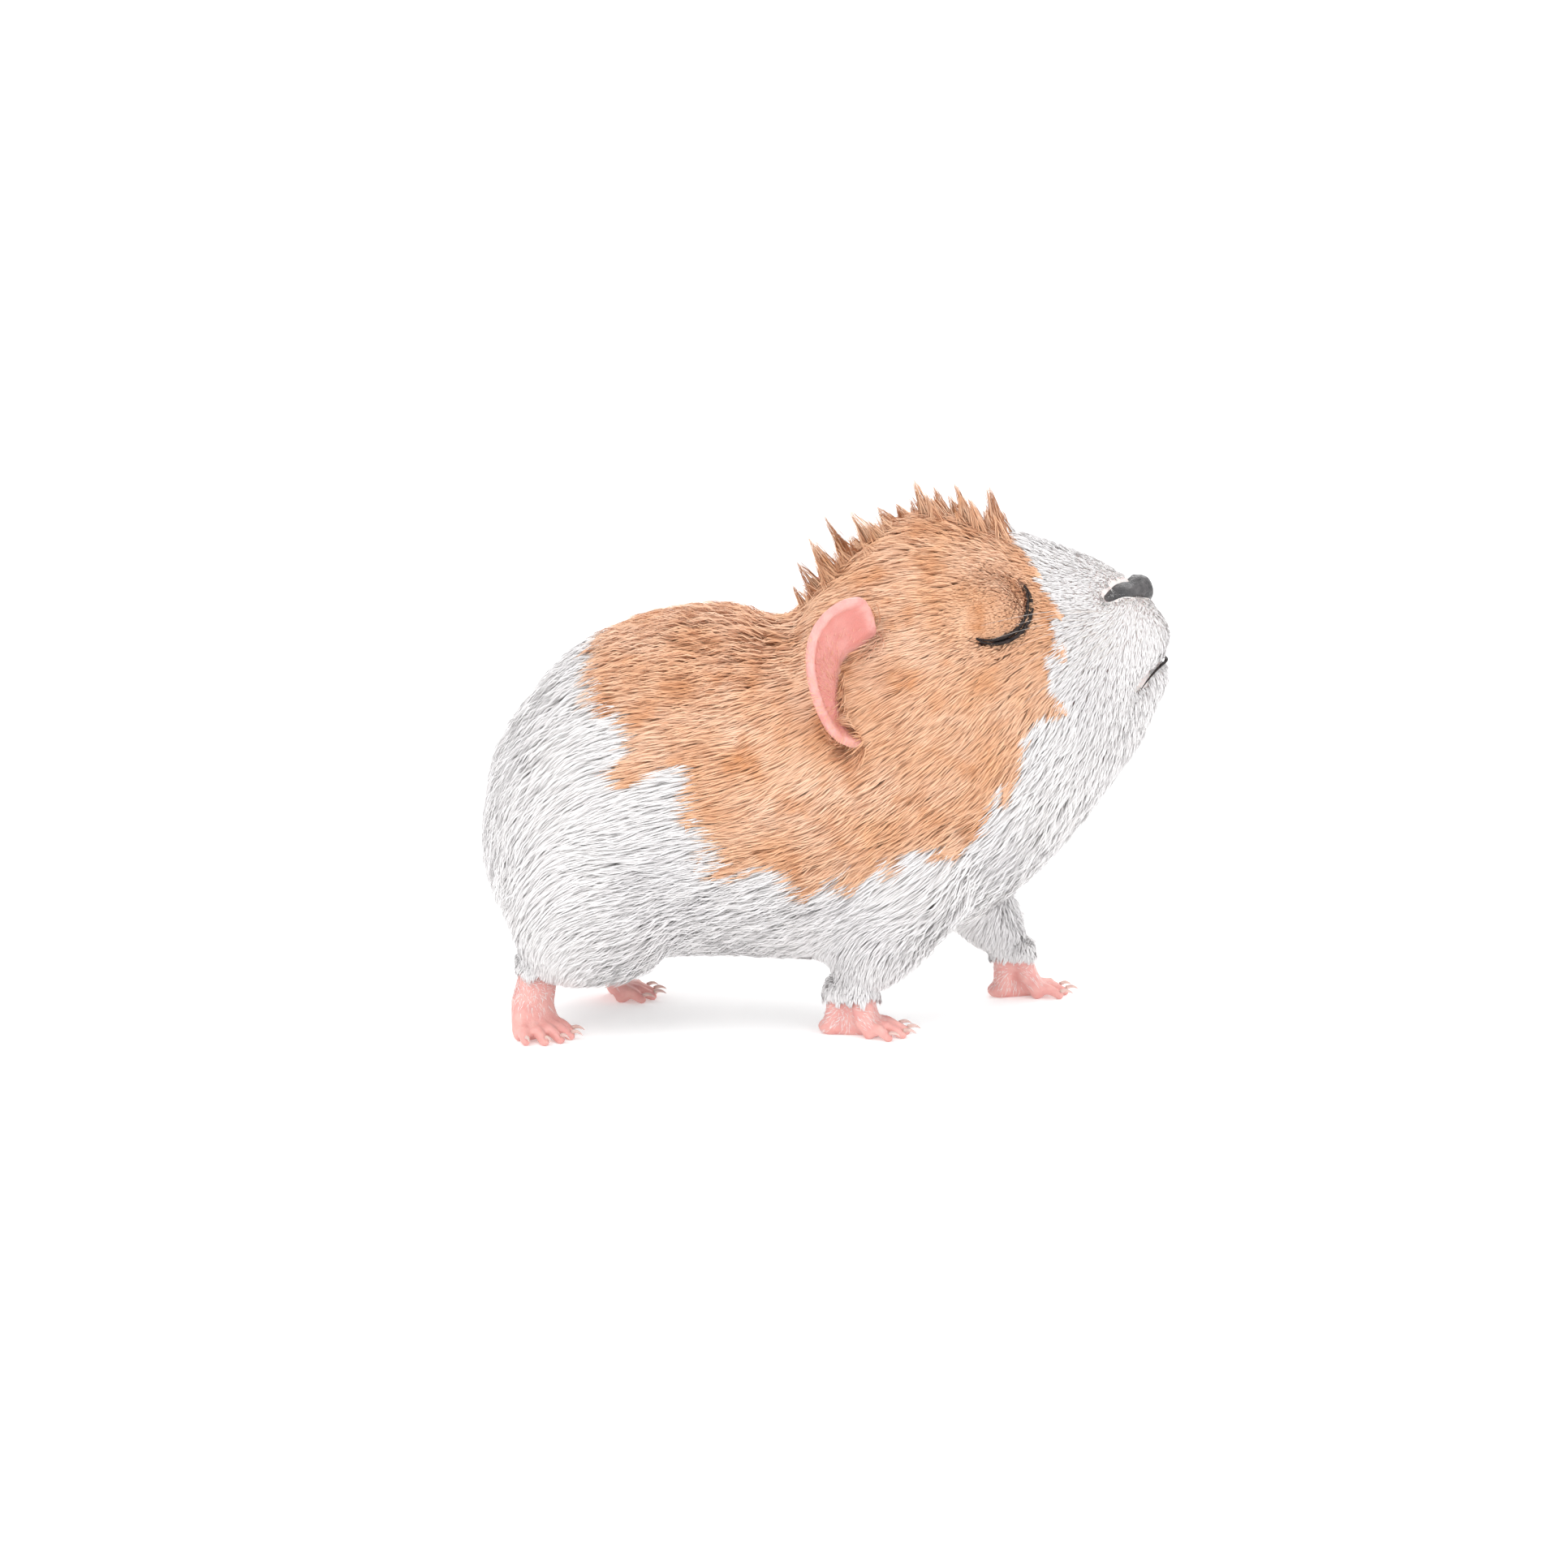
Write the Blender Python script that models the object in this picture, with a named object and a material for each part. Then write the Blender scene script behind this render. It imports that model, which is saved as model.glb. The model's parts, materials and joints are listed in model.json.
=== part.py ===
"""A Syrian hamster standing on four feet with its nose raised and its eyes closed: a still, life-size model.

The animal faces +X, its right side faces -Y and +Z is up. It is modelled out to the tips of its coat. The
fused body is parted with thin cuts into the nodes that a person would name. Lengths are in millimetres until
mesh() turns them into metres.
"""

import math

import bmesh
import bpy
import numpy as np
from mathutils import Euler, Matrix, Vector

MM = 0.001

# ---- Driving dimensions, in millimetres ----
GAP = 0.3  # the cut between two nodes
BACK_HEIGHT = 73.6
BELLY_HEIGHT = 11.0
BODY_WIDTH = 59.0
EYE_CENTRE = (28.5, 12.8, 73.2)
EAR_CENTRE = (4.4, 19.0, 65.2)
NOSE = (54.3, 0.0, 75.7)
SIDES = {"right": -1, "left": 1}

# ---- Fineness ----
BODY_VOXEL, BODY_SMOOTHING = 1.1, 12
CREST_VOXEL, CREST_SMOOTHING = 0.9, 4
SMALL_VOXEL, SMALL_SMOOTHING = 0.34, 3  # feet, ears, nose and tail
FINE_TRIANGLES = 30000  # the body while it is worked on
SKIN_TRIANGLES = 2620  # the finished body, before it is parted
FORE_FOOT_TRIANGLES = 320
HIND_FOOT_TRIANGLES = 350
EAR_TRIANGLES = 370
NOSE_TRIANGLES = 150
TAIL_TRIANGLES = 130
WELD = 0.002  # corners closer than this are one
SHARP = math.radians(50)  # edges that turn by more than this are shaded as edges

# Colours, as linear RGB.
GINGER = (0.66, 0.29, 0.11)
CREAM = (0.83, 0.79, 0.77)
PINK = (0.80, 0.42, 0.38)
CHARCOAL = (0.035, 0.032, 0.032)
HORN = (0.72, 0.60, 0.52)


# ---- Tools ----
def material(name, colour, roughness):
    made = bpy.data.materials.new(name)
    made.use_nodes = True
    shader = made.node_tree.nodes["Principled BSDF"]
    shader.inputs["Base Color"].default_value = (*colour, 1)
    shader.inputs["Roughness"].default_value = roughness
    shader.inputs["Metallic"].default_value = 0
    return made


def node(name, data, finish=None):
    """An object in the scene; without a finish it is a helper that no node is made of."""
    made = bpy.data.objects.new(name, data)
    bpy.context.scene.collection.objects.link(made)
    if finish:
        data.materials.clear()
        data.materials.append(finish)
        data.shade_smooth()
        data.set_sharp_from_angle(angle=SHARP)
    return made


def mesh(name, points, faces):
    """A mesh in metres from points in millimetres."""
    made = bpy.data.meshes.new(name)
    made.from_pydata((np.asarray(points, float) * MM).tolist(), [], faces)
    made.validate()
    return made


def rings_mesh(name, rings):
    """A closed skin over equal rings of points, with each end closed by a fan."""
    count = len(rings[0])
    points = [p for ring in rings for p in ring]
    faces = []
    for i in range(len(rings) - 1):
        for j in range(count):
            k = (j + 1) % count
            a, b = i * count, (i + 1) * count
            faces.append((a + j, b + j, b + k, a + k))
    for ring, start, turned in ((rings[0], 0, False), (rings[-1], (len(rings) - 1) * count, True)):
        hub = len(points)
        points.append(np.mean(ring, axis=0))
        for j in range(count):
            k = (j + 1) % count
            faces.append((hub, start + k, start + j) if turned else (hub, start + j, start + k))
    made = mesh(name, points, faces)
    return facing_out(made)


def facing_out(data):
    shape = bmesh.new()
    shape.from_mesh(data)
    bmesh.ops.recalc_face_normals(shape, faces=shape.faces)
    shape.to_mesh(data)
    shape.free()
    return data


def ellipsoid(centre, radii, turn=(0, 0, 0), segments=28):
    """An ellipsoid whose own axes are turned by Euler angles, in radians."""
    data = bpy.data.meshes.new("ellipsoid")
    shape = bmesh.new()
    bmesh.ops.create_uvsphere(shape, u_segments=segments, v_segments=segments // 2, radius=MM)
    place = Matrix.Translation(Vector(centre) * MM) @ Euler(turn).to_matrix().to_4x4()
    bmesh.ops.transform(shape, matrix=place @ Matrix.Diagonal((*radii, 1)), verts=shape.verts)
    shape.to_mesh(data)
    shape.free()
    return data


def capsule(start, end, start_radius, end_radius, sides=16, dome=5):
    """A tapered rod with round ends."""
    a, b = np.array(start, float), np.array(end, float)
    along = (b - a) / np.linalg.norm(b - a)
    across = np.cross(along, (0, 0, 1) if abs(along[2]) < 0.9 else (1, 0, 0))
    across /= np.linalg.norm(across)
    third = np.cross(along, across)
    turns = np.linspace(0, 2 * math.pi, sides, endpoint=False)
    circle = np.outer(np.cos(turns), across) + np.outer(np.sin(turns), third)
    lifts = np.linspace(0, math.pi / 2, dome + 1)
    rings = [a + start_radius * (circle * math.cos(t) - along * math.sin(t)) for t in lifts[dome - 1 :: -1]]
    rings += [b + end_radius * (circle * math.cos(t) + along * math.sin(t)) for t in lifts[:dome]]
    return rings_mesh("capsule", rings)


def chain(points, radii):
    """Tapered rods end to end."""
    pairs = zip(points, points[1:], radii, radii[1:])
    return [capsule(a, b, ra, rb) for a, b, ra, rb in pairs]


def smooth_rows(rows, steps):
    """Catmull-Rom through rows of numbers, with this many steps from each row to the next."""
    rows = np.array(rows, float)
    padded = np.vstack([2 * rows[0] - rows[1], rows, 2 * rows[-1] - rows[-2]])
    found = []
    for i in range(1, len(padded) - 2):
        p0, p1, p2, p3 = padded[i - 1 : i + 3]
        for t in np.arange(steps) / steps:
            found.append(
                0.5 * (2 * p1 + (p2 - p0) * t + (2 * p0 - 5 * p1 + 4 * p2 - p3) * t**2)
                + 0.5 * (3 * p1 - p0 - 3 * p2 + p3) * t**3
            )
    return np.array([*found, rows[-1]])


def evaluated(made):
    """The object's mesh with its modifiers applied; the object itself is removed."""
    bpy.context.view_layer.update()
    graph = bpy.context.evaluated_depsgraph_get()
    data = bpy.data.meshes.new_from_object(made.evaluated_get(graph))
    bpy.data.objects.remove(made)
    return data


def fused(parts, voxel, smoothing, triangles):
    """Overlapping closed meshes made one smooth skin of about this many triangles."""
    shape = bmesh.new()
    for part in parts:
        shape.from_mesh(part)
    data = bpy.data.meshes.new("fused")
    shape.to_mesh(data)
    shape.free()
    made = node("fusing", data)
    remesh = made.modifiers.new("Remesh", "REMESH")
    remesh.mode = "VOXEL"
    remesh.voxel_size = voxel * MM
    soften = made.modifiers.new("Smooth", "SMOOTH")
    soften.factor = 0.5
    soften.iterations = smoothing
    fine = evaluated(made)
    fine.calc_loop_triangles()
    made = node("thinning", fine)
    thin = made.modifiers.new("Decimate", "DECIMATE")
    thin.ratio = min(1.0, triangles / len(fine.loop_triangles))
    thin.use_collapse_triangulate = True
    return evaluated(made)


def grown(data, by):
    """A copy of a mesh with each vertex moved out along its normal."""
    copy = data.copy()
    moves = [v.co + v.normal * by * MM for v in copy.vertices]
    for vertex, place in zip(copy.vertices, moves):
        vertex.co = place
    return copy


def boolean(data, tool, operation):
    """A mesh after a Boolean with another, keeping only its largest body."""
    made, other = node("piece", data), node("tool", tool)
    step = made.modifiers.new("Boolean", "BOOLEAN")
    step.operation = operation
    step.solver = "EXACT"
    step.object = other
    result = evaluated(made)
    bpy.data.objects.remove(other)
    return largest_body(result)


def largest_body(data):
    shape = bmesh.new()
    shape.from_mesh(data)
    bmesh.ops.remove_doubles(shape, verts=shape.verts, dist=WELD * MM)
    left, bodies = set(shape.verts), []
    while left:
        todo, body = [left.pop()], []
        while todo:
            vertex = todo.pop()
            body.append(vertex)
            for edge in vertex.link_edges:
                other = edge.other_vert(vertex)
                if other in left:
                    left.remove(other)
                    todo.append(other)
        bodies.append(body)
    bodies.sort(key=len)
    for body in bodies[:-1]:
        bmesh.ops.delete(shape, geom=body, context="VERTS")
    shape.to_mesh(data)
    shape.free()
    return data


def without(data, neighbour):
    """A piece cut back from its neighbour, with the gap between them."""
    return boolean(data, grown(neighbour, GAP), "DIFFERENCE")


def parted(data, region):
    """A mesh divided by a region into the part inside and the part outside, with the gap between them."""
    inside = boolean(data.copy(), region.copy(), "INTERSECT")
    outside = boolean(data, grown(region, GAP), "DIFFERENCE")
    return inside, outside


def one_side(data, point, normal):
    """The part of a mesh on the side of a plane that its normal points to, closed again."""
    shape = bmesh.new()
    shape.from_mesh(data)
    cut = bmesh.ops.bisect_plane(
        shape,
        geom=[*shape.verts, *shape.edges, *shape.faces],
        plane_co=Vector(point) * MM,
        plane_no=Vector(normal),
        clear_inner=True,
        dist=1e-7,
    )
    rim = [part for part in cut["geom_cut"] if isinstance(part, bmesh.types.BMEdge)]
    bmesh.ops.holes_fill(shape, edges=rim)
    bmesh.ops.recalc_face_normals(shape, faces=shape.faces)
    made = bpy.data.meshes.new("side")
    shape.to_mesh(made)
    shape.free()
    return made


def mirrored(point, side):
    return (point[0], point[1] * side, point[2])


# ---- The body's masses ----
# Each section is a slanting oval: its top x and z, its bottom x and z, its half width, and the share of its
# height at which it is widest. Between sections the outline runs smoothly.
HALF_WIDTH = BODY_WIDTH / 2
BODY_SECTIONS = (
    (-60.3, 36.5, -60.4, 27.5, 5.0, 0.50),
    (-58.0, 47.5, -57.6, 21.5, 14.0, 0.47),
    (-52.4, 57.0, -51.0, 14.6, 22.0, 0.45),
    (-42.5, 66.8, -41.5, BELLY_HEIGHT - 0.6, 27.0, 0.43),
    (-28.5, BACK_HEIGHT - 1, -29.0, BELLY_HEIGHT, HALF_WIDTH, 0.43),
    (-15.5, BACK_HEIGHT, -13.0, BELLY_HEIGHT, 28.8, 0.43),
    (-6.5, BACK_HEIGHT - 1, 3.5, BELLY_HEIGHT, 26.6, 0.44),
    (-1.5, 78.5, 15.0, 12.5, 24.4, 0.45),
    (4.5, 83.5, 26.5, 17.0, 22.6, 0.46),
    (11.5, 86.3, 36.6, 24.5, 21.0, 0.46),
    (18.5, 89.8, 44.5, 33.5, 18.6, 0.45),
    (26.0, 88.8, 50.8, 42.0, 15.6, 0.45),
    (34.0, 86.0, 55.2, 48.5, 11.8, 0.47),
    (42.0, 83.2, 57.8, 54.4, 8.6, 0.50),
    (49.5, 79.8, 58.2, 59.4, 5.8, 0.52),
    (54.0, 75.4, 57.0, 64.0, 3.4, 0.50),
)
RING_POINTS = 40


def barrel():
    """The whole length of the body without its legs, from the rump to the lips."""
    rings = []
    turns = np.linspace(0, 2 * math.pi, RING_POINTS, endpoint=False)
    for top_x, top_z, low_x, low_z, half_width, widest in smooth_rows(BODY_SECTIONS, 4):
        top, low = np.array((top_x, 0, top_z)), np.array((low_x, 0, low_z))
        middle = low + (top - low) * widest
        ring = []
        for turn in turns:
            height = top - middle if math.sin(turn) > 0 else middle - low
            ring.append(middle + height * math.sin(turn) + np.array((0, half_width * math.cos(turn), 0)))
        rings.append(ring)
    return rings_mesh("barrel", rings)


def head_masses():
    """Skull and, on each side, cheek, pouch and brow."""
    masses = [ellipsoid((18.5, 0, 75.0), (17.0, 14.6, 14.8), (0, 0.30, 0))]
    for side in SIDES.values():
        masses += [
            ellipsoid((25.0, 8.8 * side, 60.8), (15.0, 11.0, 13.5), (0, 0.55, 0)),  # cheek
            ellipsoid((12.5, 9.0 * side, 55.0), (15.0, 13.6, 16.0)),  # pouch
            ellipsoid((28.0, 7.8 * side, 74.0), (9.2, 7.2, 8.4)),  # brow
        ]
    return masses


def muzzle_masses():
    """The lower lip and the two whisker pads that overhang it."""
    masses = [ellipsoid((54.6, 0, 60.2), (6.0, 5.4, 4.9), (0, -0.35, 0))]
    for side in SIDES.values():
        masses.append(ellipsoid((50.6, 3.6 * side, 69.4), (9.6, 5.8, 6.6), (0, 0.28, 0.20 * side)))
    return masses


MOUTH = {"front": (59.8, 64.0), "corner": (54.0, 7.6, 60.6), "radius": 0.75}


def mouth_crease():
    """A cutter for the line between the upper lips and the lower one, from corner to corner."""
    (front_x, front_z), (corner_x, corner_y, corner_z) = MOUTH["front"], MOUTH["corner"]
    path = []
    for turn in np.linspace(-math.pi / 2, math.pi / 2, 9):
        ahead = math.cos(turn)
        x = corner_x + (front_x - corner_x) * ahead
        z = corner_z + (front_z - corner_z) * ahead
        path.append(np.array((x, corner_y * math.sin(turn), z)))
    rings = []
    for before, point, after in zip([path[0], *path], path, [*path[1:], path[-1]]):
        along = (after - before) / np.linalg.norm(after - before)
        outward = np.cross(along, (0, 0, 1))
        outward /= np.linalg.norm(outward)
        up = np.cross(outward, along)
        size = MOUTH["radius"]
        lips = [point + (outward * 2 + way * up) * size for way in (1, -1)]
        rings.append([point - outward * size * 1.8, *lips])
    return rings_mesh("mouth", rings)


# Shoulder, elbow and wrist; the right foreleg trails and the left one reaches forward.
FORELEGS = {
    "right": (((16.5, -12, 27), (10.0, -13.0, 17.5), (3.4, -13.6, 7.4)), (11.0, 8.2, 4.1)),
    "left": (((18, 12, 28), (27, 13.0, 19), (33.6, 14.0, 8.6)), (11.0, 7.6, 4.1)),
}
# Hip, knee and heel; the right hind leg trails and the left one is under the body.
HIND_LEGS = {
    "right": (((-38.5, -15, 26), (-43, -14, 18), (-50.6, -12.8, 11.4)), (13.0, 9.5, 4.6)),
    "left": (((-36, 15, 26), (-36, 14, 18), (-41.0, 12.0, 11.2)), (13.0, 9.5, 4.6)),
}
THIGH_RADII = (18.0, 13.0, 17.0)


def leg_masses():
    masses = []
    for points, radii in (*FORELEGS.values(), *HIND_LEGS.values()):
        masses += chain(points, radii)
    for points, _ in HIND_LEGS.values():
        masses.append(ellipsoid(points[0], THIGH_RADII))
    return masses


# Locks that stand up where the raised head ruffles the coat: the root's x, y and z, and the tip's x and z.
NAPE_LOCKS = (
    (-1.0, 0.6, 75.5, -5.6, 81.0),
    (1.5, -3.2, 78.5, -3.4, 85.6),
    (4.5, 2.8, 81.0, -0.8, 88.8),
    (8.0, -1.8, 83.0, 3.8, 89.8),
    (11.5, 2.2, 84.5, 8.6, 90.2),
)
CROWN_LOCKS = (
    (17.0, -0.8, 87.0, 14.8, 95.4),
    (20.5, 3.0, 86.5, 18.2, 93.8),
    (24.0, -2.4, 86.5, 21.6, 94.9),
    (29.5, 0.6, 85.0, 27.6, 94.4),
)
LOCK_ROOT_RADIUS, LOCK_TIP_RADIUS, LOCK_SPREAD = 3.3, 0.8, 1.3


def crest():
    """The ruffled locks on the nape and the crown, which spread a little towards their tips."""
    locks = []
    for x, y, z, tip_x, tip_z in (*NAPE_LOCKS, *CROWN_LOCKS):
        tip = (tip_x, y * LOCK_SPREAD, tip_z)
        locks.append(capsule((x, y, z), tip, LOCK_ROOT_RADIUS, LOCK_TIP_RADIUS, 12, 4))
    return locks


# ---- Feet ----
# Ankle and ball of each foot, and where its toes point, in degrees from straight ahead towards its own side.
FEET = {
    "fore_foot_right": {"ankle": (2.8, -13.6, 7.0), "ball": (7.6, -15.0), "heading": 12},
    "fore_foot_left": {"ankle": (33.6, 14.0, 8.0), "ball": (37.2, 15.0), "heading": 14},
    "hind_foot_right": {"ankle": (-52.0, -12.8, 10.6), "ball": (-50.4, -16.4), "heading": 46},
    "hind_foot_left": {"ankle": (-41.6, 11.8, 10.4), "ball": (-37.6, 12.8), "heading": 14},
}
FOOT_KINDS = {
    "fore": {
        "toes": (4.2, 5.2, 5.1, 4.0),
        "spread": 44,
        "ball_width": 5.4,
        "toe_radius": 0.95,
        "ankle_radius": 2.4,
        "heel_pad": 1.7,
        "claw": 1.5,
        "triangles": FORE_FOOT_TRIANGLES,
    },
    "hind": {
        "toes": (3.8, 5.4, 5.8, 5.5, 4.0),
        "spread": 52,
        "ball_width": 7.0,
        "toe_radius": 1.0,
        "ankle_radius": 2.8,
        "heel_pad": 0,
        "claw": 1.5,
        "triangles": HIND_FOOT_TRIANGLES,
    },
}
FLAT = 0.3  # how much of each pad the floor takes off
TOE_ARCH = 0.75
KNUCKLE, TOE_TIP, PAD = 1.5, 0.92, 1.25  # thicknesses along a toe, as shares of its radius
BALL_BOW = (0.9, 3.0)  # how far ahead the middle knuckle stands, and how fast the others fall back
CLAW = {"rise": 0.30, "hook": 0.42, "radii": ((0, 0.45), (0.5, 0.38), (1, 0.25)), "sides": 6}


def toes_of(name):
    """Each toe's knuckle, middle and tip, from the inner toe to the outer one, and its heading."""
    place, kind = FEET[name], FOOT_KINDS[name.split("_")[0]]
    side = SIDES[name.split("_")[2]]
    found, last = [], len(kind["toes"]) - 1
    heading = math.radians(place["heading"])
    for i, length in enumerate(kind["toes"]):
        share = i / last - 0.5
        turn = (heading + math.radians(kind["spread"]) * share) * side
        ahead = np.array((math.cos(turn), math.sin(turn), 0))
        across = np.array((-math.sin(heading * side), math.cos(heading * side), 0)) * side
        bow = BALL_BOW[0] - BALL_BOW[1] * share**2
        knuckle = np.array((*place["ball"], kind["toe_radius"] * 1.75)) + across * share * kind["ball_width"]
        knuckle = knuckle + bow * np.array((math.cos(heading * side), math.sin(heading * side), 0))
        tip = knuckle + ahead * length
        tip[2] = kind["toe_radius"] * TOE_TIP - FLAT
        middle = (knuckle + tip) / 2 + np.array((0, 0, TOE_ARCH))
        found.append((knuckle, middle, tip, turn))
    return found


def foot(name):
    """A bare foot: fanned foot bones, arched toes and pads under them, flattened where it stands."""
    place, kind = FEET[name], FOOT_KINDS[name.split("_")[0]]
    radius, ankle = kind["toe_radius"], np.array(place["ankle"], float)
    parts = []
    for knuckle, middle, tip, _ in toes_of(name):
        radii = (kind["ankle_radius"], radius * KNUCKLE, radius, radius * TOE_TIP)
        parts += chain((ankle, knuckle, middle, tip), radii)
        pad = (knuckle[0], knuckle[1], radius * 1.1 - FLAT)
        parts.append(ellipsoid(pad, (radius * PAD, radius * PAD, radius * 1.1), segments=16))
    if kind["heel_pad"]:
        heel = np.array((ankle[0] - 2.0, ankle[1], kind["heel_pad"] * 0.9 - FLAT))
        parts.append(ellipsoid(heel, np.array((1.5, 1.25, 0.9)) * kind["heel_pad"]))
        palm = np.array((*place["ball"], kind["heel_pad"]))
        parts += chain((ankle, heel, palm), (kind["ankle_radius"], kind["heel_pad"], kind["heel_pad"]))
    whole = fused(parts, SMALL_VOXEL, SMALL_SMOOTHING, kind["triangles"])
    return one_side(whole, (0, 0, 0), (0, 0, 1))


def claw(tip, turn, length, toe_radius):
    """A curved nail ahead of a toe's end."""
    ahead, up = np.array((math.cos(turn), math.sin(turn), 0)), np.array((0, 0, 1))
    across = np.array((-math.sin(turn), math.cos(turn), 0))
    turns = np.linspace(0, 2 * math.pi, CLAW["sides"], endpoint=False)
    rings = []
    for share, size in CLAW["radii"]:
        reach = toe_radius * TOE_TIP + GAP + length * share
        point = tip + ahead * reach + up * (CLAW["rise"] - CLAW["hook"] * share**2)
        rings.append([point + size * (across * math.cos(t) + up * math.sin(t)) for t in turns])
    return rings_mesh("claw", rings)


# ---- Ears, eyes, nose and tail ----
EAR = {"up": 11.6, "down": 12.2, "back": 7.5, "front": 3.8, "lean": 0.1, "shell": 0.9, "rim": 0.85}
EAR_STANDS = (5.0, 5.2, -1.3)  # how far the rim stands out: its mean, and its swing over one and two waves
EAR_HOLLOW = 1.7  # above 1, the shell is flat in the middle and steep at its rim
RIM_FRONT = math.radians(150)  # the rolled rim ends where the ear dips under the coat


def ear_place(share, turn):
    """A place on the left ear's shell, from its middle, 0, to its rim, 1. A turn of 0 is its back edge."""
    middle = np.array(EAR_CENTRE)
    tall = EAR["up"] if math.sin(turn) > 0 else EAR["down"]
    long = (EAR["back"] if math.cos(turn) > 0 else EAR["front"]) * (1 + EAR["lean"] * math.sin(2 * turn))
    mean, once, twice = EAR_STANDS
    out = mean + once * math.cos(turn) + twice * math.cos(2 * turn)
    return middle + np.array(
        (-long * math.cos(turn) * share, out * share**EAR_HOLLOW, tall * math.sin(turn) * share)
    )


def ear(side):
    """A cupped shell with a rolled rim, open to the side, that runs into the head at its front."""
    shares, turns = np.linspace(0.1, 1, 9), np.linspace(0, 2 * math.pi, 36, endpoint=False)
    points = [mirrored(ear_place(share, turn), side) for share in shares for turn in turns]
    faces = [tuple(range(len(turns)))]
    for i in range(len(shares) - 1):
        for j in range(len(turns)):
            k = (j + 1) % len(turns)
            a, b = i * len(turns), (i + 1) * len(turns)
            faces.append((a + j, b + j, b + k, a + k))
    leaf = node("leaf", mesh("ear", points, faces))
    thick = leaf.modifiers.new("Solidify", "SOLIDIFY")
    thick.thickness = EAR["shell"] * MM
    thick.offset = 0
    rim = [mirrored(ear_place(1, turn), side) for turn in np.linspace(-RIM_FRONT, RIM_FRONT, 23)]
    parts = [facing_out(evaluated(leaf)), *chain(rim, [EAR["rim"]] * len(rim))]
    return fused(parts, SMALL_VOXEL, SMALL_SMOOTHING, EAR_TRIANGLES)


EYE_RADII = (5.9, 4.4, 5.2)
EYE_OUTWARD = Vector((0.24, 0.93, 0.27)).normalized()
LID_LINE = {"half_width": 5.6, "sag": 2.7, "from": -165, "to": -15, "depth": 0.5}


def eye_frame(side):
    """The closed eye's own axes: along its lids, out of the head, and up across them."""
    outward = Vector(mirrored(EYE_OUTWARD, side))
    along = Vector((0.70, 0, 0.714))
    along = (along - outward * along.dot(outward)).normalized()
    up = along.cross(outward) * side
    return along, outward, up


def eyeball(side):
    """The round of a closed eye, without the line between its lids."""
    along, outward, up = eye_frame(side)
    turned = Matrix((along, outward * side, up)).transposed().to_euler()
    return ellipsoid(mirrored(EYE_CENTRE, side), EYE_RADII, turned, 14)


def lid_line(side):
    """A cutter that presses in the line where the lids meet, as an arc."""
    along, outward, up = eye_frame(side)
    centre = Vector(mirrored(EYE_CENTRE, side))
    rings = []
    for degrees in np.linspace(LID_LINE["from"], LID_LINE["to"], 7):
        x = math.cos(math.radians(degrees)) * LID_LINE["half_width"]
        z = math.sin(math.radians(degrees)) * LID_LINE["sag"]
        depth = EYE_RADII[1] * math.sqrt(max(0.0, 1 - (x / EYE_RADII[0]) ** 2 - (z / EYE_RADII[2]) ** 2))
        floor = centre + along * x + up * z + outward * (depth - LID_LINE["depth"])
        lip = outward * 2 * LID_LINE["depth"]
        spread = Vector((x, z)).normalized() * LID_LINE["depth"]
        step = along * spread.x + up * spread.y
        rings.append([np.array(floor), np.array(floor + lip + step), np.array(floor + lip - step)])
    return rings_mesh("lid_line", rings)


def nose():
    """The nose leather: a rounded wedge, widest at the nostrils."""
    centre = Vector(NOSE)
    parts = [ellipsoid(centre, (3.0, 2.9, 2.6), (0, 0.4, 0), 16)]
    for side in SIDES.values():
        wing = centre + Vector((-2.1, 2.0 * side, -0.6))
        parts.append(ellipsoid(wing, (3.9, 1.7, 2.0), (0, 0.3, -0.30 * side), 16))
    return fused(parts, SMALL_VOXEL, SMALL_SMOOTHING, NOSE_TRIANGLES)


def tail():
    """A short bare stub below the rump."""
    points, radii = ((-47.5, 0, 21.5), (-51.8, 0, 14.6), (-53.2, 0, 10.6)), (3.0, 2.1, 1.1)
    return fused(chain(points, radii), SMALL_VOXEL, SMALL_SMOOTHING, TAIL_TRIANGLES)


# ---- Parting the body ----
# Each cut follows a loop of x and z drawn on the animal's side.
HEAD_LOOP = (
    *((0, 104), (-2, 84), (-3, 70), (0, 58), (9, 48.5)),
    *((22, 43.5), (36, 41.5), (50, 42), (70, 46), (70, 104)),
)
NECK_LOOP = (
    *((-10, 104), (-9, 80), (-8.5, 66), (-5, 53), (3, 42.5)),
    *((14, 34.5), (28, 28), (42, 25), (70, 28), (70, 104)),
)
LEG_LOOPS = {
    "fore_leg_right": (
        *((-3, 0), (-2.5, 12), (1, 24), (6, 34), (14, 39)),
        *((23, 37.5), (28.5, 30), (28, 20), (20, 8), (12, 0)),
    ),
    "fore_leg_left": (
        *((22, 0), (17, 12), (9, 22), (7, 31), (12, 38)),
        *((21, 39.5), (29, 34), (36, 24), (42, 12), (44, 0)),
    ),
    "hind_leg_right": (
        *((-64, 0), (-60, 12), (-59, 24), (-56, 36), (-48, 44)),
        *((-37, 45.5), (-26, 41), (-20, 30), (-20.5, 17), (-30, 0)),
    ),
    "hind_leg_left": (
        *((-54, 0), (-54, 12), (-56, 24), (-53, 36), (-45, 44)),
        *((-33, 45.5), (-22, 41), (-16, 30), (-16.5, 17), (-26, 0)),
    ),
}
LEG_INNER, LEG_OUTER = 5.5, 45  # how far from the middle of the body a leg's cut starts and ends


def prism(loop, low_y, high_y):
    """A cutter: a smooth loop of x and z carried across the body, from one y to the other."""
    points = smooth_rows(loop, 2)
    return rings_mesh("cutter", [[np.array((x, y, z)) for x, z in points] for y in (low_y, high_y)])


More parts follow.
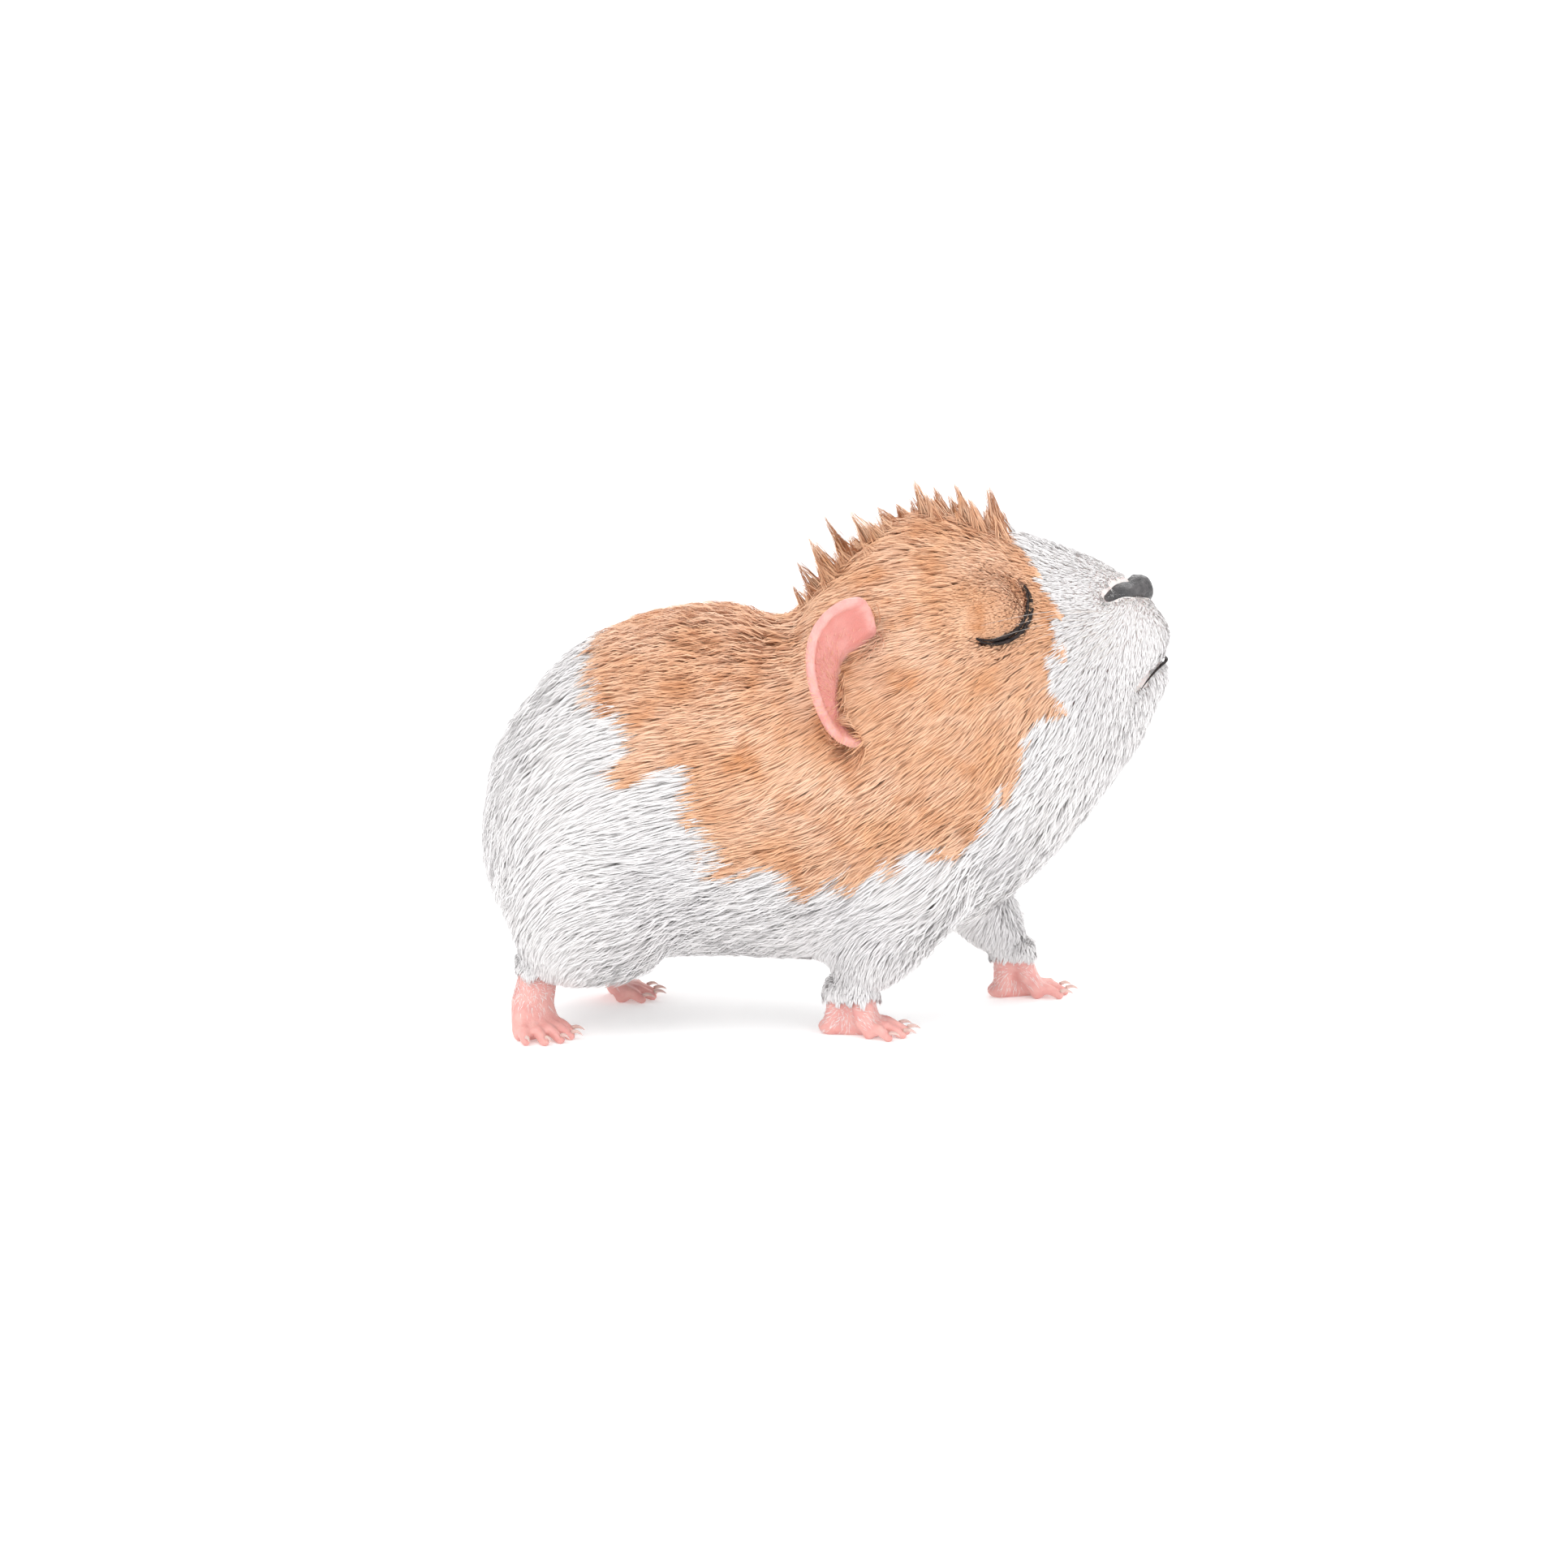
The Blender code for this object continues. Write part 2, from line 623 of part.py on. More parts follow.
def build():
    fur = {"ginger": material("ginger_coat", GINGER, 0.8), "white": material("white_coat", CREAM, 0.8)}
    bare, dark = material("pink_skin", PINK, 0.55), material("nose_leather", CHARCOAL, 0.4)
    nail = material("claw_horn", HORN, 0.35)

    masses = [barrel(), *head_masses(), *muzzle_masses(), *leg_masses()]
    smooth = fused(masses, BODY_VOXEL, BODY_SMOOTHING, FINE_TRIANGLES)
    body = fused([smooth, *crest()], CREST_VOXEL, CREST_SMOOTHING, SKIN_TRIANGLES)
    legs = {}
    for limb, loop in LEG_LOOPS.items():
        side = SIDES[limb.split("_")[2]]
        across = sorted((LEG_INNER * side, LEG_OUTER * side))
        legs[limb], body = parted(body, prism(loop, *across))
    head, rest = parted(body, prism(HEAD_LOOP, -LEG_OUTER, LEG_OUTER))
    neck, trunk = parted(rest, prism(NECK_LOOP, -LEG_OUTER, LEG_OUTER))

    for name in FEET:
        kind, limb, side = name.split("_")[0], name.replace("foot", "leg"), name.split("_")[2]
        node(name, without(foot(name), legs[limb]), bare)
        for i, (_, _, tip, turn) in enumerate(toes_of(name), 1):
            sizes = FOOT_KINDS[kind]
            node(f"{kind}_claw_{side}_{i}", claw(tip, turn, sizes["claw"], sizes["toe_radius"]), nail)
        node(limb, legs[limb], fur["white"])

    for name, side in SIDES.items():
        head = without(head, eyeball(side))
        node(f"eye_{name}", boolean(eyeball(side), lid_line(side), "DIFFERENCE"), fur["ginger"])
    snout = nose()
    head = boolean(without(head, snout), mouth_crease(), "DIFFERENCE")
    node("nose", snout, dark)
    for name, side in SIDES.items():
        node(f"ear_{name}", without(without(ear(side), head), neck), bare)
    node("tail", without(tail(), trunk), bare)
    node("head", head, fur["ginger"])
    node("neck", neck, fur["ginger"])
    node("trunk", trunk, fur["white"])


def set_down():
    """Moves everything so that the origin is on the floor, under the middle of the model's box."""
    corners = np.array([v.co for made in bpy.data.objects for v in made.data.vertices])
    low, high = corners.min(axis=0), corners.max(axis=0)
    shift = Matrix.Translation((-(low[0] + high[0]) / 2, -(low[1] + high[1]) / 2, -low[2]))
    for made in bpy.data.objects:
        made.data.transform(shift)


def main():
    for made in list(bpy.data.objects):
        bpy.data.objects.remove(made)
    build()
    set_down()


main()
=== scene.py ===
"""The looks of the Syrian hamster: one skin, a coat of mesh tufts, and its eyes, nose, claws and whiskers.

The animal faces +X, its right side faces -Y and +Z is up. Lengths are in millimetres until a mesh is made.
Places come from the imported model's nodes, which give the tips of the coat: the skin lies inside them.
"""

import itertools
import json
import math

import bmesh
import bpy
import numpy as np
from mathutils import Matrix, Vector
from mathutils.bvhtree import BVHTree
from mathutils.kdtree import KDTree

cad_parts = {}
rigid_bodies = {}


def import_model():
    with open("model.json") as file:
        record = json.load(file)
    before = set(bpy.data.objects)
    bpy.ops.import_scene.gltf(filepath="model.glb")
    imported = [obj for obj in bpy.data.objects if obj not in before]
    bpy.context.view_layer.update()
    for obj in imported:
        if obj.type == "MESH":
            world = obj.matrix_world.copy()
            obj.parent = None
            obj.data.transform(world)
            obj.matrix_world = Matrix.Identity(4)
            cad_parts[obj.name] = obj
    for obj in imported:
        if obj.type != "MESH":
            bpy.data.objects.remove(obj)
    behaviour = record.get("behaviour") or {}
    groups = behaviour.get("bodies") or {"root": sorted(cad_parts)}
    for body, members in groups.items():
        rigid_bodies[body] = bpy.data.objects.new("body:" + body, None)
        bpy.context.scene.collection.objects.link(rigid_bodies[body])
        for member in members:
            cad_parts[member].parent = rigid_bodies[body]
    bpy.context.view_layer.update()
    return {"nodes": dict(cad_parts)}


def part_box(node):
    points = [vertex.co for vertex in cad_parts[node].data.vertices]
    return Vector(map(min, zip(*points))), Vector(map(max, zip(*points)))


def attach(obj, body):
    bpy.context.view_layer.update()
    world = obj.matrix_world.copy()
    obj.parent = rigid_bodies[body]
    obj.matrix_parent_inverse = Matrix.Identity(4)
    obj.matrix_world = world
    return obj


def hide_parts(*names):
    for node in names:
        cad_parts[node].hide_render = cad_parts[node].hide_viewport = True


MM = 0.001
SEED = 11

# ---- The skin, in millimetres ----
FORM_VOXEL = 0.8  # the body while the coat's depth is taken off it
SKIN_VOXEL = 0.34  # the whole skin
FINE_VOXEL = 0.25  # feet, ears and tail
NOSE_VOXEL = 0.16
SKIN_TRIANGLES = 150000
COAT_DEPTH = 4.4  # on the back and flanks
SHRINKING_STEPS = 5
CREST_REACH, CREST_FROM, CREST_TO = 8.0, -14, 34  # where the ruffled locks stand, aside and along X
ANKLE_REACH = 9  # how far round the ankles skin and coat run into the feet
EYE_REACH = 10  # how far round an eye the lids shape the skin
ROOT_REACH = {"foot": 4.0, "ear": 4.5, "tail": 4.5}  # how far these are drawn out into the body
ROOT_SMOOTHING = {"foot": 8, "ear": 5, "tail": 12}

# The closed eye's own axes on the left side: along its lids, and out of the head.
EYE_ALONG, EYE_OUTWARD = (0.70, 0, 0.714), (0.24, 0.93, 0.27)
EYE_RADII = (4.6, 3.4, 4.2)  # of the ball under the lids
# The lids meet along part of an ellipse, which ends this many degrees below the line from corner to corner.
LIDS = {
    "half_width": 6.6, "sag": 5.6, "lift": 1.0, "end": 12, "half_gap": 0.42, "depth": 1.5, "rim": 0.30,
    "swell": 0.30, "swell_at": 0.7, "swell_width": 0.5,
}
MOUTH = {"front": (60.0, 0, 64.0), "corner": (54.5, 7.6, 59.2), "depth": 0.9, "width": 0.55, "lip": 0.27}
CLEFT = {"top": (1.5, 0, -3.0), "depth": 0.45, "width": 0.40}  # its top as seen from the nose

# The nose leather: the tip of its left wing, and how far it stands out of the skin round it.
NOSE_WING, NOSE_SEAT = (48.0, 7.0, 74.7), 0.55
NOSTRIL = {"start": (1.3, 1.9, -0.5), "run": (-1.6, 0.7, 0.35), "depth": 0.9, "width": 0.55}
GROOVE = {"depth": 0.22, "width": 0.28}  # between the nostrils
BARE_ABOVE = {"fore": 1.2, "hind": 2.4}  # how far up the legs the feet's bare skin runs

# ---- The coat ----
TUFTS = 225000
COAT_PIECES = 7
PATCH = 0.003  # the size of a tuft's patch on the OFBake map
# The coat by the distance from the nearest of some places: how far the skin lies under its tips, how long
# and how wide its tufts are, and how many lie over each other. The least value of a table holds.
DEPTHS = {
    "nose": ((3, 8, 16, 30, 48, 62), (0.2, 0.6, 1.1, 2.0, 3.2, COAT_DEPTH)),
    "eyes": ((5, 10), (0.7, COAT_DEPTH)),
    "ankles": ((2, 8, 20), (1.2, 2.2, COAT_DEPTH)),
    "ears": ((8, 14, 20), (2.0, 3.0, COAT_DEPTH)),
    "tail": ((3, 9), (1.6, COAT_DEPTH)),
}
LENGTHS = {
    "nose": ((3, 8, 16, 30, 48, 62), (0.6, 1.2, 2.4, 4.2, 6.2, 7.6)),
    "ankles": ((3, 6, 16, 28), (1.7, 2.4, 4.4, 8.0)),
    "eyes": ((4, 8, 12), (0.9, 2.2, 8.0)),
}
WIDTHS = {"nose": ((3, 16, 40, 62), (0.13, 0.17, 0.24, 0.28)), "ankles": ((2, 14), (0.16, 0.28))}
LAYERS = {"nose": ((3, 16, 40, 62), (3.0, 5.0, 10.0, 13.0))}
CLUMPING = 0.42  # how far a tuft is drawn to the middle of its clump at its tip
SOFTNESS = 0.65  # how far the light on a tuft follows the body under it rather than the tuft itself

# Locks that stand up where the raised head ruffles the coat: the root's x and y, and the tip's x and z.
CREST_LOCKS = (
    (-0.8, 0.6, -5.6, 81.2), (1.7, -3.2, -3.4, 85.8), (4.7, 2.8, -0.8, 89.0), (8.2, -1.8, 3.8, 90.0),
    (11.7, 2.2, 8.6, 90.2), (17.2, -0.8, 14.8, 95.4), (20.7, 3.0, 18.4, 93.8), (24.2, -2.4, 21.8, 94.9),
    (29.5, 0.6, 27.6, 94.2),
)
LOCK = {
    "tufts": 80, "behind": 0.9, "ahead": 2.4, "across": 1.0, "spread": 0.22, "width": 0.18,
    "companions": 6, "reach": (1.6, 5.2), "height": (0.40, 0.85),
}

# The ginger patch's edge, from the crown down the cheek and back along the flank: x, z, and how far the line
# to the next place bows in to the patch, as a share of its length. Tips and notches take turns.
PATCH_TURNS = (
    (23.6, 99.0, 0), (23.6, 92.1, -0.06), (36.7, 78.7, 0), (34.7, 79.3, -0.08), (39.8, 71.9, 0),
    (37.8, 72.4, 0.05), (40.6, 65.1, 0), (37.4, 66.1, 0.09), (40.6, 55.8, 0.14), (33.3, 52.8, -0.10),
    (29.9, 40.8, 0), (29.5, 44.6, -0.08), (22.4, 31.5, -0.10), (17.9, 32.6, 0), (20.5, 33.6, 0.30),
    (10.8, 27.3, 0), (10.3, 33.2, -0.10), (4.1, 27.7, 0), (2.0, 28.7, 0), (4.5, 30.9, 0.18),
    (-3.7, 23.7, 0.19), (-12.5, 32.5, -0.08), (-20.3, 29.7, 0.17), (-18.6, 37.0, 0),
    (-22.0, 31.3, 0.19), (-22.1, 41.4, 0), (-23.5, 37.9, -0.03), (-22.8, 47.7, 0.27),
    (-28.2, 48.0, -0.05), (-33.9, 45.2, -0.20), (-36.4, 48.2, 0.37), (-35.4, 56.9, -0.30),
    (-38.5, 57.6, -0.15), (-37.7, 62.5, 0.10), (-40.8, 57.9, -0.10), (-38.3, 68.5, 0), (-38.3, 99.0, 0),
)

# The pointed locks in which the patch ends: the tip's x and z, its way, in degrees up from straight ahead,
# and its length.
PATCH_LOCKS = (
    (36.9, 78.5, -48, 3.2), (40.1, 71.6, -62, 3.0), (40.9, 64.8, -68, 3.2), (41.0, 55.5, -58, 3.8),
    (29.9, 40.5, -108, 5.5), (17.9, 32.6, -170, 6.5), (10.8, 27.0, -120, 6.5), (2.0, 28.4, -160, 6.0),
    (-3.7, 23.4, -92, 7.0), (-20.3, 29.5, -145, 6.5), (-22.6, 31.0, -115, 6.5), (-23.9, 37.4, -105, 6.0),
    (-37.2, 47.2, -150, 6.5), (-41.0, 57.4, -112, 6.5),
)
PATCH_LOCK = {"tufts": 150, "radius": 0.26, "width": 0.24, "under": 0.3}

# Short sparse hair on bare skin: how far it reaches from its places, its tufts, length and gingerness.
EAR_FUZZ = {"reach": 16.0, "tufts": 2600, "length": 1.5, "ginger": 1.0}
FOOT_FUZZ = {"reach": 8.0, "tufts": 1300, "length": 1.2, "ginger": 0.0}
FUZZ_WIDTH = 0.08
LOWEST_HAIR = 0.1  # above the floor

# Colours, as linear RGB.
GINGER = (0.84, 0.48, 0.275)
PALE_GINGER = (0.92, 0.63, 0.45)
DEEP_GINGER = (0.72, 0.34, 0.155)
WHITE_TONES = (0.89, 0.875, 0.872), (0.82, 0.805, 0.812)
PINK_TONES = (0.78, 0.42, 0.38), (0.70, 0.31, 0.285)
# the ears' hollows: partly their own deeper pink, partly painted shade
SHADED_HOLLOW_PINK = (0.66, 0.24, 0.21)
SKIN_PINK = (0.74, 0.56, 0.51)
CHARCOAL, PALE_CHARCOAL = (0.030, 0.028, 0.030), (0.095, 0.088, 0.090)
HORN_TONES = (0.60, 0.40, 0.36), (0.74, 0.56, 0.51)
EYE_TONES = (0.006, 0.004, 0.004), (0.020, 0.012, 0.010)
RIM_TONES = (0.010, 0.007, 0.007), (0.040, 0.028, 0.026)
WHISKER_TONES = (0.80, 0.76, 0.72), (0.58, 0.52, 0.48)
FLOOR_TONES = (0.92, 0.92, 0.92), (0.88, 0.88, 0.885)
# What tufts turn to by their own tone, and the painted shade towards their roots: the white ones, then the
# ginger ones.
OWN_TONES = (0.72, 0.69, 0.68), (0.50, 0.21, 0.09)
ROOT_SHADE_TONES = (0.66, 0.58, 0.55), (0.46, 0.22, 0.12)

WHISKERS = {"per_side": 14, "length": (10, 22), "radius": 0.055}
# In metres, and degrees.
CAMERA = {"elevation": 10, "distance": 0.650, "lens": 85.3, "aim": (-0.0073, 0.0, 0.0414)}
ABOVE, DOWN = 130, (0, 0, -1)  # for rays from over the animal, down onto it

SIDES = ("left", "right")
LEGS = [f"{pair}_leg_{side}" for pair in ("fore", "hind") for side in SIDES]
FEET = [leg.replace("leg", "foot") for leg in LEGS]
EARS = ("ear_left", "ear_right")
FLESH = ("head", "neck", "trunk", *LEGS)
BARE = (*FEET, *EARS, "tail")

rng = np.random.default_rng(SEED)

for left_over in list(bpy.data.objects):
    bpy.data.objects.remove(left_over)
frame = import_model()


# ---- Small tools ----
def unit(vectors):
    vectors = np.asarray(vectors, float)
    return vectors / np.maximum(np.linalg.norm(vectors, axis=-1, keepdims=True), 1e-9)


def smoothstep(low, high, values):
    share = np.clip((np.asarray(values, float) - low) / (high - low), 0, 1)
    return share * share * (3 - 2 * share)


def away(points, *places):
    """Each point's distance from the nearest of these places."""
    return np.min([np.linalg.norm(points - np.asarray(p, float), axis=-1) for p in places], axis=0)


def middle(name):
    low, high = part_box(name)
    return np.array((low + high) / 2) / MM


def read(items, name, width, kind=float):
    """A value of each item, as an array with this many numbers to a row."""
    found = np.zeros(len(items) * width, kind)
    items.foreach_get(name, found)
    return found.reshape(-1, width)


def points_of(data):
    return read(data.vertices, "co", 3) / MM


def normals_of(data):
    return read(data.vertex_normals, "vector", 3)


def node_points(name):
    return points_of(frame["nodes"][name].data)


def move_to(data, points):
    data.vertices.foreach_set("co", (points * MM).ravel())
    data.update()
    return data


def mesh(name, points, faces):
    """A mesh in metres from points in millimetres and faces of one length."""
    faces = np.asarray(faces, np.int32)
    data = bpy.data.meshes.new(name)
    data.vertices.add(len(points))
    data.vertices.foreach_set("co", (np.asarray(points, float) * MM).ravel())
    data.loops.add(faces.size)
    data.loops.foreach_set("vertex_index", faces.ravel())
    data.polygons.add(len(faces))
    data.polygons.foreach_set("loop_start", np.arange(0, faces.size, faces.shape[1], dtype=np.int32))
    data.update(calc_edges=True)
    return data


def piece(name, data, finish=None):
    made = bpy.data.objects.new(name, data)
    bpy.context.scene.collection.objects.link(made)
    if finish:
        data.materials.clear()
        data.materials.append(finish.material)
        data.shade_smooth()
    return made


def modified(data, kind, weights=None, **settings):
    """The mesh with a modifier applied, by weights at its points where they are given."""
    helper = piece("helper", data)
    change = helper.modifiers.new(kind, kind)
    if weights is not None:
        group = helper.vertex_groups.new(name="weights")
        for index in np.flatnonzero(weights > 0):
            group.add([int(index)], float(weights[index]), "REPLACE")
        change.vertex_group = "weights"
    for name, value in settings.items():
        setattr(change, name, value)
    graph = bpy.context.evaluated_depsgraph_get()
    made = bpy.data.meshes.new_from_object(helper.evaluated_get(graph))
    bpy.data.objects.remove(helper)
    return made


def remeshed(data, voxel):
    return modified(data, "REMESH", mode="VOXEL", voxel_size=voxel * MM)


def smoothed(data, times, weights=None):
    return modified(data, "SMOOTH", weights, iterations=times, factor=0.5)


def shape_of(*meshes):
    """These meshes together as a bmesh."""
    shape = bmesh.new()
    for data in meshes:
        shape.from_mesh(data)
    return shape


def filled(data, shape):
    """The mesh with what the bmesh holds; the bmesh goes."""
    shape.to_mesh(data)
    shape.free()
    return data


def tree_from(shape):
    tree = BVHTree.FromBMesh(shape)
    shape.free()
    return tree


def tree_of(data):
    return tree_from(shape_of(data))


def welded(names, growth=0.0):
    """Nodes in one mesh, with their split corners merged, grown by a length along their normals."""
    shape = shape_of(*[frame["nodes"][name].data for name in names])
    bmesh.ops.remove_doubles(shape, verts=shape.verts, dist=1e-6)
    shape.normal_update()
    for vertex in shape.verts:
        vertex.co += vertex.normal * growth * MM
    return filled(bpy.data.meshes.new("welded"), shape)


def closed(name, points, faces):
    """A closed mesh whose faces look out."""
    data = mesh(name, points, faces)
    shape = shape_of(data)
    bmesh.ops.recalc_face_normals(shape, faces=shape.faces)
    return filled(data, shape)


def nearest(tree, points):
    """The nearest place on a tree's surface to each point, the normal there and the distance."""
    found = [tree.find_nearest(Vector(p)) for p in points * MM]
    places = np.array([f[0] for f in found]) / MM
    return places, np.array([f[1] for f in found]), np.array([f[3] for f in found]) / MM


def on_surface(tree, place):
    return np.array(tree.find_nearest(Vector(place) * MM)[0]) / MM


def met_by_ray(tree, start, way):
    """Where a ray meets a tree's surface, or None."""
    hit = tree.ray_cast(Vector(start) * MM, Vector(way))[0]
    return None if hit is None else np.array(hit) / MM


def near_path(points, path):
    """Each point's nearest place on a path: its index there and its distance."""
    tree = KDTree(len(path))
    for i, place in enumerate(path):
        tree.insert(Vector(place), i)
    tree.balance()
    found = [tree.find(Vector(p)) for p in points]
    return np.array([f[1] for f in found]), np.array([f[2] for f in found])


def dense(path, steps=6):
    """A path with more points between each two."""
    shares = np.arange(steps) / steps
    parts = [a + (b - a) * shares[:, None] for a, b in zip(path, path[1:])]
    return np.vstack([*parts, path[-1:]])


NOSE = middle("nose")
EYES = [middle(f"eye_{side}") for side in SIDES]


def touching(name, other):
    """Where a node meets another: the middle of the touching points and the other's normal there."""
    points = node_points(name)
    _, normals, distances = nearest(tree_of(welded([other])), points)
    close = distances < distances.min() + 0.5
    return points[close].mean(axis=0), unit(normals[close].mean(axis=0))


ROOTED_IN = {leg.replace("leg", "foot"): leg for leg in LEGS}
ROOTED_IN |= {"ear_left": "head", "ear_right": "head", "tail": "trunk"}
JOINTS = {name: touching(name, other) for name, other in ROOTED_IN.items()}
ANKLES = [JOINTS[foot][0] for foot in FEET]
EAR_ROOTS = [JOINTS[ear][0] for ear in EARS]
PLACES = {"nose": [NOSE], "eyes": EYES, "ankles": ANKLES, "ears": EAR_ROOTS, "tail": [JOINTS["tail"][0]]}


def by_place(table, points):
    """The least of a table's values at each point."""
    found = [np.interp(away(points, *PLACES[name]), *steps) for name, steps in table.items()]
    return np.min(found, axis=0)


# ---- The skin's form ----
def without_crest(data):
    """The form with the ruffled locks taken down to a smooth ridge."""
    tree = tree_of(data)
    stations = np.arange(CREST_FROM, CREST_TO + 1.0)
    sides = (-CREST_REACH, CREST_REACH)
    heights = [np.mean([met_by_ray(tree, (x, y, ABOVE), DOWN)[2] for y in sides]) for x in stations]
    heights = np.convolve(np.pad(heights, 2, mode="edge"), np.ones(5) / 5, mode="valid")
    points = points_of(data)
    x, across = points[:, 0], points[:, 1] / CREST_REACH
    rise = np.interp(x, (-10, 15), (1.3, 2.3)) * (1 - across**2)
    limit = np.interp(x, stations, heights) + rise
    held = (np.abs(across) < 1) & (x > CREST_FROM) & (x < CREST_TO) & (points[:, 2] > limit)
    points[held, 2] = limit[held]
    return move_to(data, points)


def shrunk(form):
    """The form with the coat's depth taken off it, a step at a time."""
    tree, data = tree_of(form), form
    for step in range(1, SHRINKING_STEPS + 1):
        points = points_of(data)
        places, _, distances = nearest(tree, points)
        goal = by_place(DEPTHS, places) * step / SHRINKING_STEPS
        points = points - normals_of(data) * (goal - distances)[:, None]
        data = remeshed(smoothed(move_to(data, points), 2), FORM_VOXEL)
    return data


def rooted(name):
    """A fine copy of a bare node, drawn out at its root so that it runs into the skin."""
    kind = "foot" if name in FEET else name.split("_")[0]
    data = smoothed(remeshed(welded([name], 0.05), FINE_VOXEL), ROOT_SMOOTHING[kind])
    points = points_of(data)
    distances = nearest(tree_of(welded([ROOTED_IN[name]])), points)[2]
    share = smoothstep(3.2, 0.5, distances)[:, None]
    return move_to(data, points - JOINTS[name][1] * share * ROOT_REACH[kind])


def decimated(data, triangles):
    ratio = triangles / (2 * len(data.polygons))
    return modified(data, "DECIMATE", ratio=ratio, use_collapse_triangulate=True)


def eased(data, times):
    """The mesh smoothed only where the legs run into the feet."""
    points, shares = points_of(data), 0
    for ankle in ANKLES:
        share = smoothstep(ANKLE_REACH, 0.6 * ANKLE_REACH, away(points, ankle))
        shares = np.maximum(shares, share * smoothstep(-2.5, -0.5, points[:, 2] - ankle[2]))
    return smoothed(data, times, shares)


def nose_form():
    """The nose leather's form, with its wings drawn out to points along the muzzle."""
    data = smoothed(remeshed(welded(["nose"], 0.10), NOSE_VOXEL), 4)
    points = points_of(data)
    points[:, 0] -= 0.15 * np.maximum(points[:, 0] - NOSE[0], 0)
    for side in (-1, 1):
        aside = points[:, 1] * side
        tip = points[np.argsort(aside)[-20:]].mean(axis=0)
        share = smoothstep(1.2, aside.max(), aside)[:, None]
        goal = np.array(NOSE_WING) * (1, side, 1)
        points += (goal - tip) * share**1.5 + (tip - points) * (0.8 * share**5) * (1, 0, 1)
    return move_to(data, points)


def eye_axes(side):
    """The closed eye's axes: along its lids, out of the head, and up across them."""
    hand = 1 if side == "left" else -1
    outward = unit(np.array(EYE_OUTWARD) * (1, hand, 1))
    along = unit(EYE_ALONG - outward * outward.dot(EYE_ALONG))
    return along, outward, np.cross(along, outward) * hand


def lid_path(side, tree, count):
    """Places on the skin where the lids meet, and how open they are there, from 0 to 1."""
    along, outward, up = eye_axes(side)
    turns = np.radians(np.linspace(LIDS["end"] - 180, -LIDS["end"], count))
    found = []
    for turn in turns:
        flat = middle(f"eye_{side}") + along * math.cos(turn) * LIDS["half_width"]
        flat = flat + up * (math.sin(turn) * LIDS["sag"] + LIDS["lift"])
        found.append(met_by_ray(tree, flat + outward * 14, -outward))
    low = math.sin(math.radians(LIDS["end"]))
    return np.array(found), np.clip((np.sin(-turns) - low) / (1 - low), 0, 1) ** 0.75


def near_lids(points, side, tree, count):
    """The points near an eye, their distances from the line between its lids, and how open it is there."""
    path, openness = lid_path(side, tree, count)
    close = np.flatnonzero(away(points, middle(f"eye_{side}")) < EYE_REACH)
    index, distances = near_path(points[close], path)
    return close, distances, openness[index]


def mouth_path(tree, count):
    """Places on the skin along the line between the lips, from corner to corner."""
    front, corner = np.array(MOUTH["front"]), np.array(MOUTH["corner"])
    found = []
    for turn in np.linspace(-math.pi / 2, math.pi / 2, count):
        aside, ahead = math.sin(turn), math.cos(turn)
        found.append(on_surface(tree, corner * (1, aside, 1) + (front - corner) * (ahead, 0, ahead)))
    return np.array(found)


def cleft_path(tree):
    """The cleft of the upper lip, from the nose leather down to the mouth."""
    line = np.linspace(NOSE + CLEFT["top"], MOUTH["front"], 13)
    return np.array([on_surface(tree, place) for place in line])


def grooved(points, normals, path, sizes):
    """Points pressed in along a path, in a soft groove of this depth and width."""
    distances = near_path(points, path)[1]
    return points - normals * (sizes["depth"] * np.exp(-((distances / sizes["width"]) ** 2)))[:, None]


def pressed(data):
    """The skin with mouth, cleft lip, nose's seat and the openings of the lids pressed in."""
    tree = tree_of(data)
    normals = normals_of(data)
    points = grooved(points_of(data), normals, dense(mouth_path(tree, 61)), MOUTH)
    points = grooved(points, normals, dense(cleft_path(tree)), CLEFT)
    distances = nearest(tree_of(NOSE_FORM), points)[2]
    points -= normals * (NOSE_SEAT * smoothstep(0.8, 0.15, distances))[:, None]
    for side in SIDES:
        close, distances, openness = near_lids(points, side, tree, 161)
        reach = LIDS["half_gap"] * openness + 0.06
        share = smoothstep(reach + 0.30, reach - 0.12, distances)
        swell = (distances - reach - LIDS["swell_at"]) / LIDS["swell_width"]
        swell = LIDS["swell"] * np.exp(-(swell**2)) * openness
        push = LIDS["depth"] * share * (0.35 + 0.65 * openness) - swell * (1 - share)
        points[close] -= eye_axes(side)[1] * push[:, None]
    return move_to(data, points)


NOSE_FORM = nose_form()


# ---- Markings ----
def patch_edge():
    """The ginger patch's edge: arcs from each turn to the next."""
    turns = np.array(PATCH_TURNS)
    starts, bows = turns[:, None, :2], turns[:, None, 2:]
    chords = np.roll(starts, -1, axis=0) - starts
    inward = chords[:, :, ::-1] * (1, -1)
    shares = np.linspace(0, 1, 9)[:-1, None]
    return (starts + chords * shares + inward * bows * np.sin(math.pi * shares)).reshape(-1, 2)


PATCH_EDGE = patch_edge()


def in_patch(points):
    """1 inside the ginger patch, as seen from the side, and 0 outside."""
    x, z = points[:, 0], points[:, 2]
    inside = np.zeros(len(points), bool)
    for (ax, az), (bx, bz) in zip(PATCH_EDGE, np.roll(PATCH_EDGE, -1, axis=0)):
        if az == bz:
            continue
        crosses = (az > z) != (bz > z)
        inside ^= crosses & (x < ax + (z - az) * (bx - ax) / (bz - az))
    return inside.astype(float)


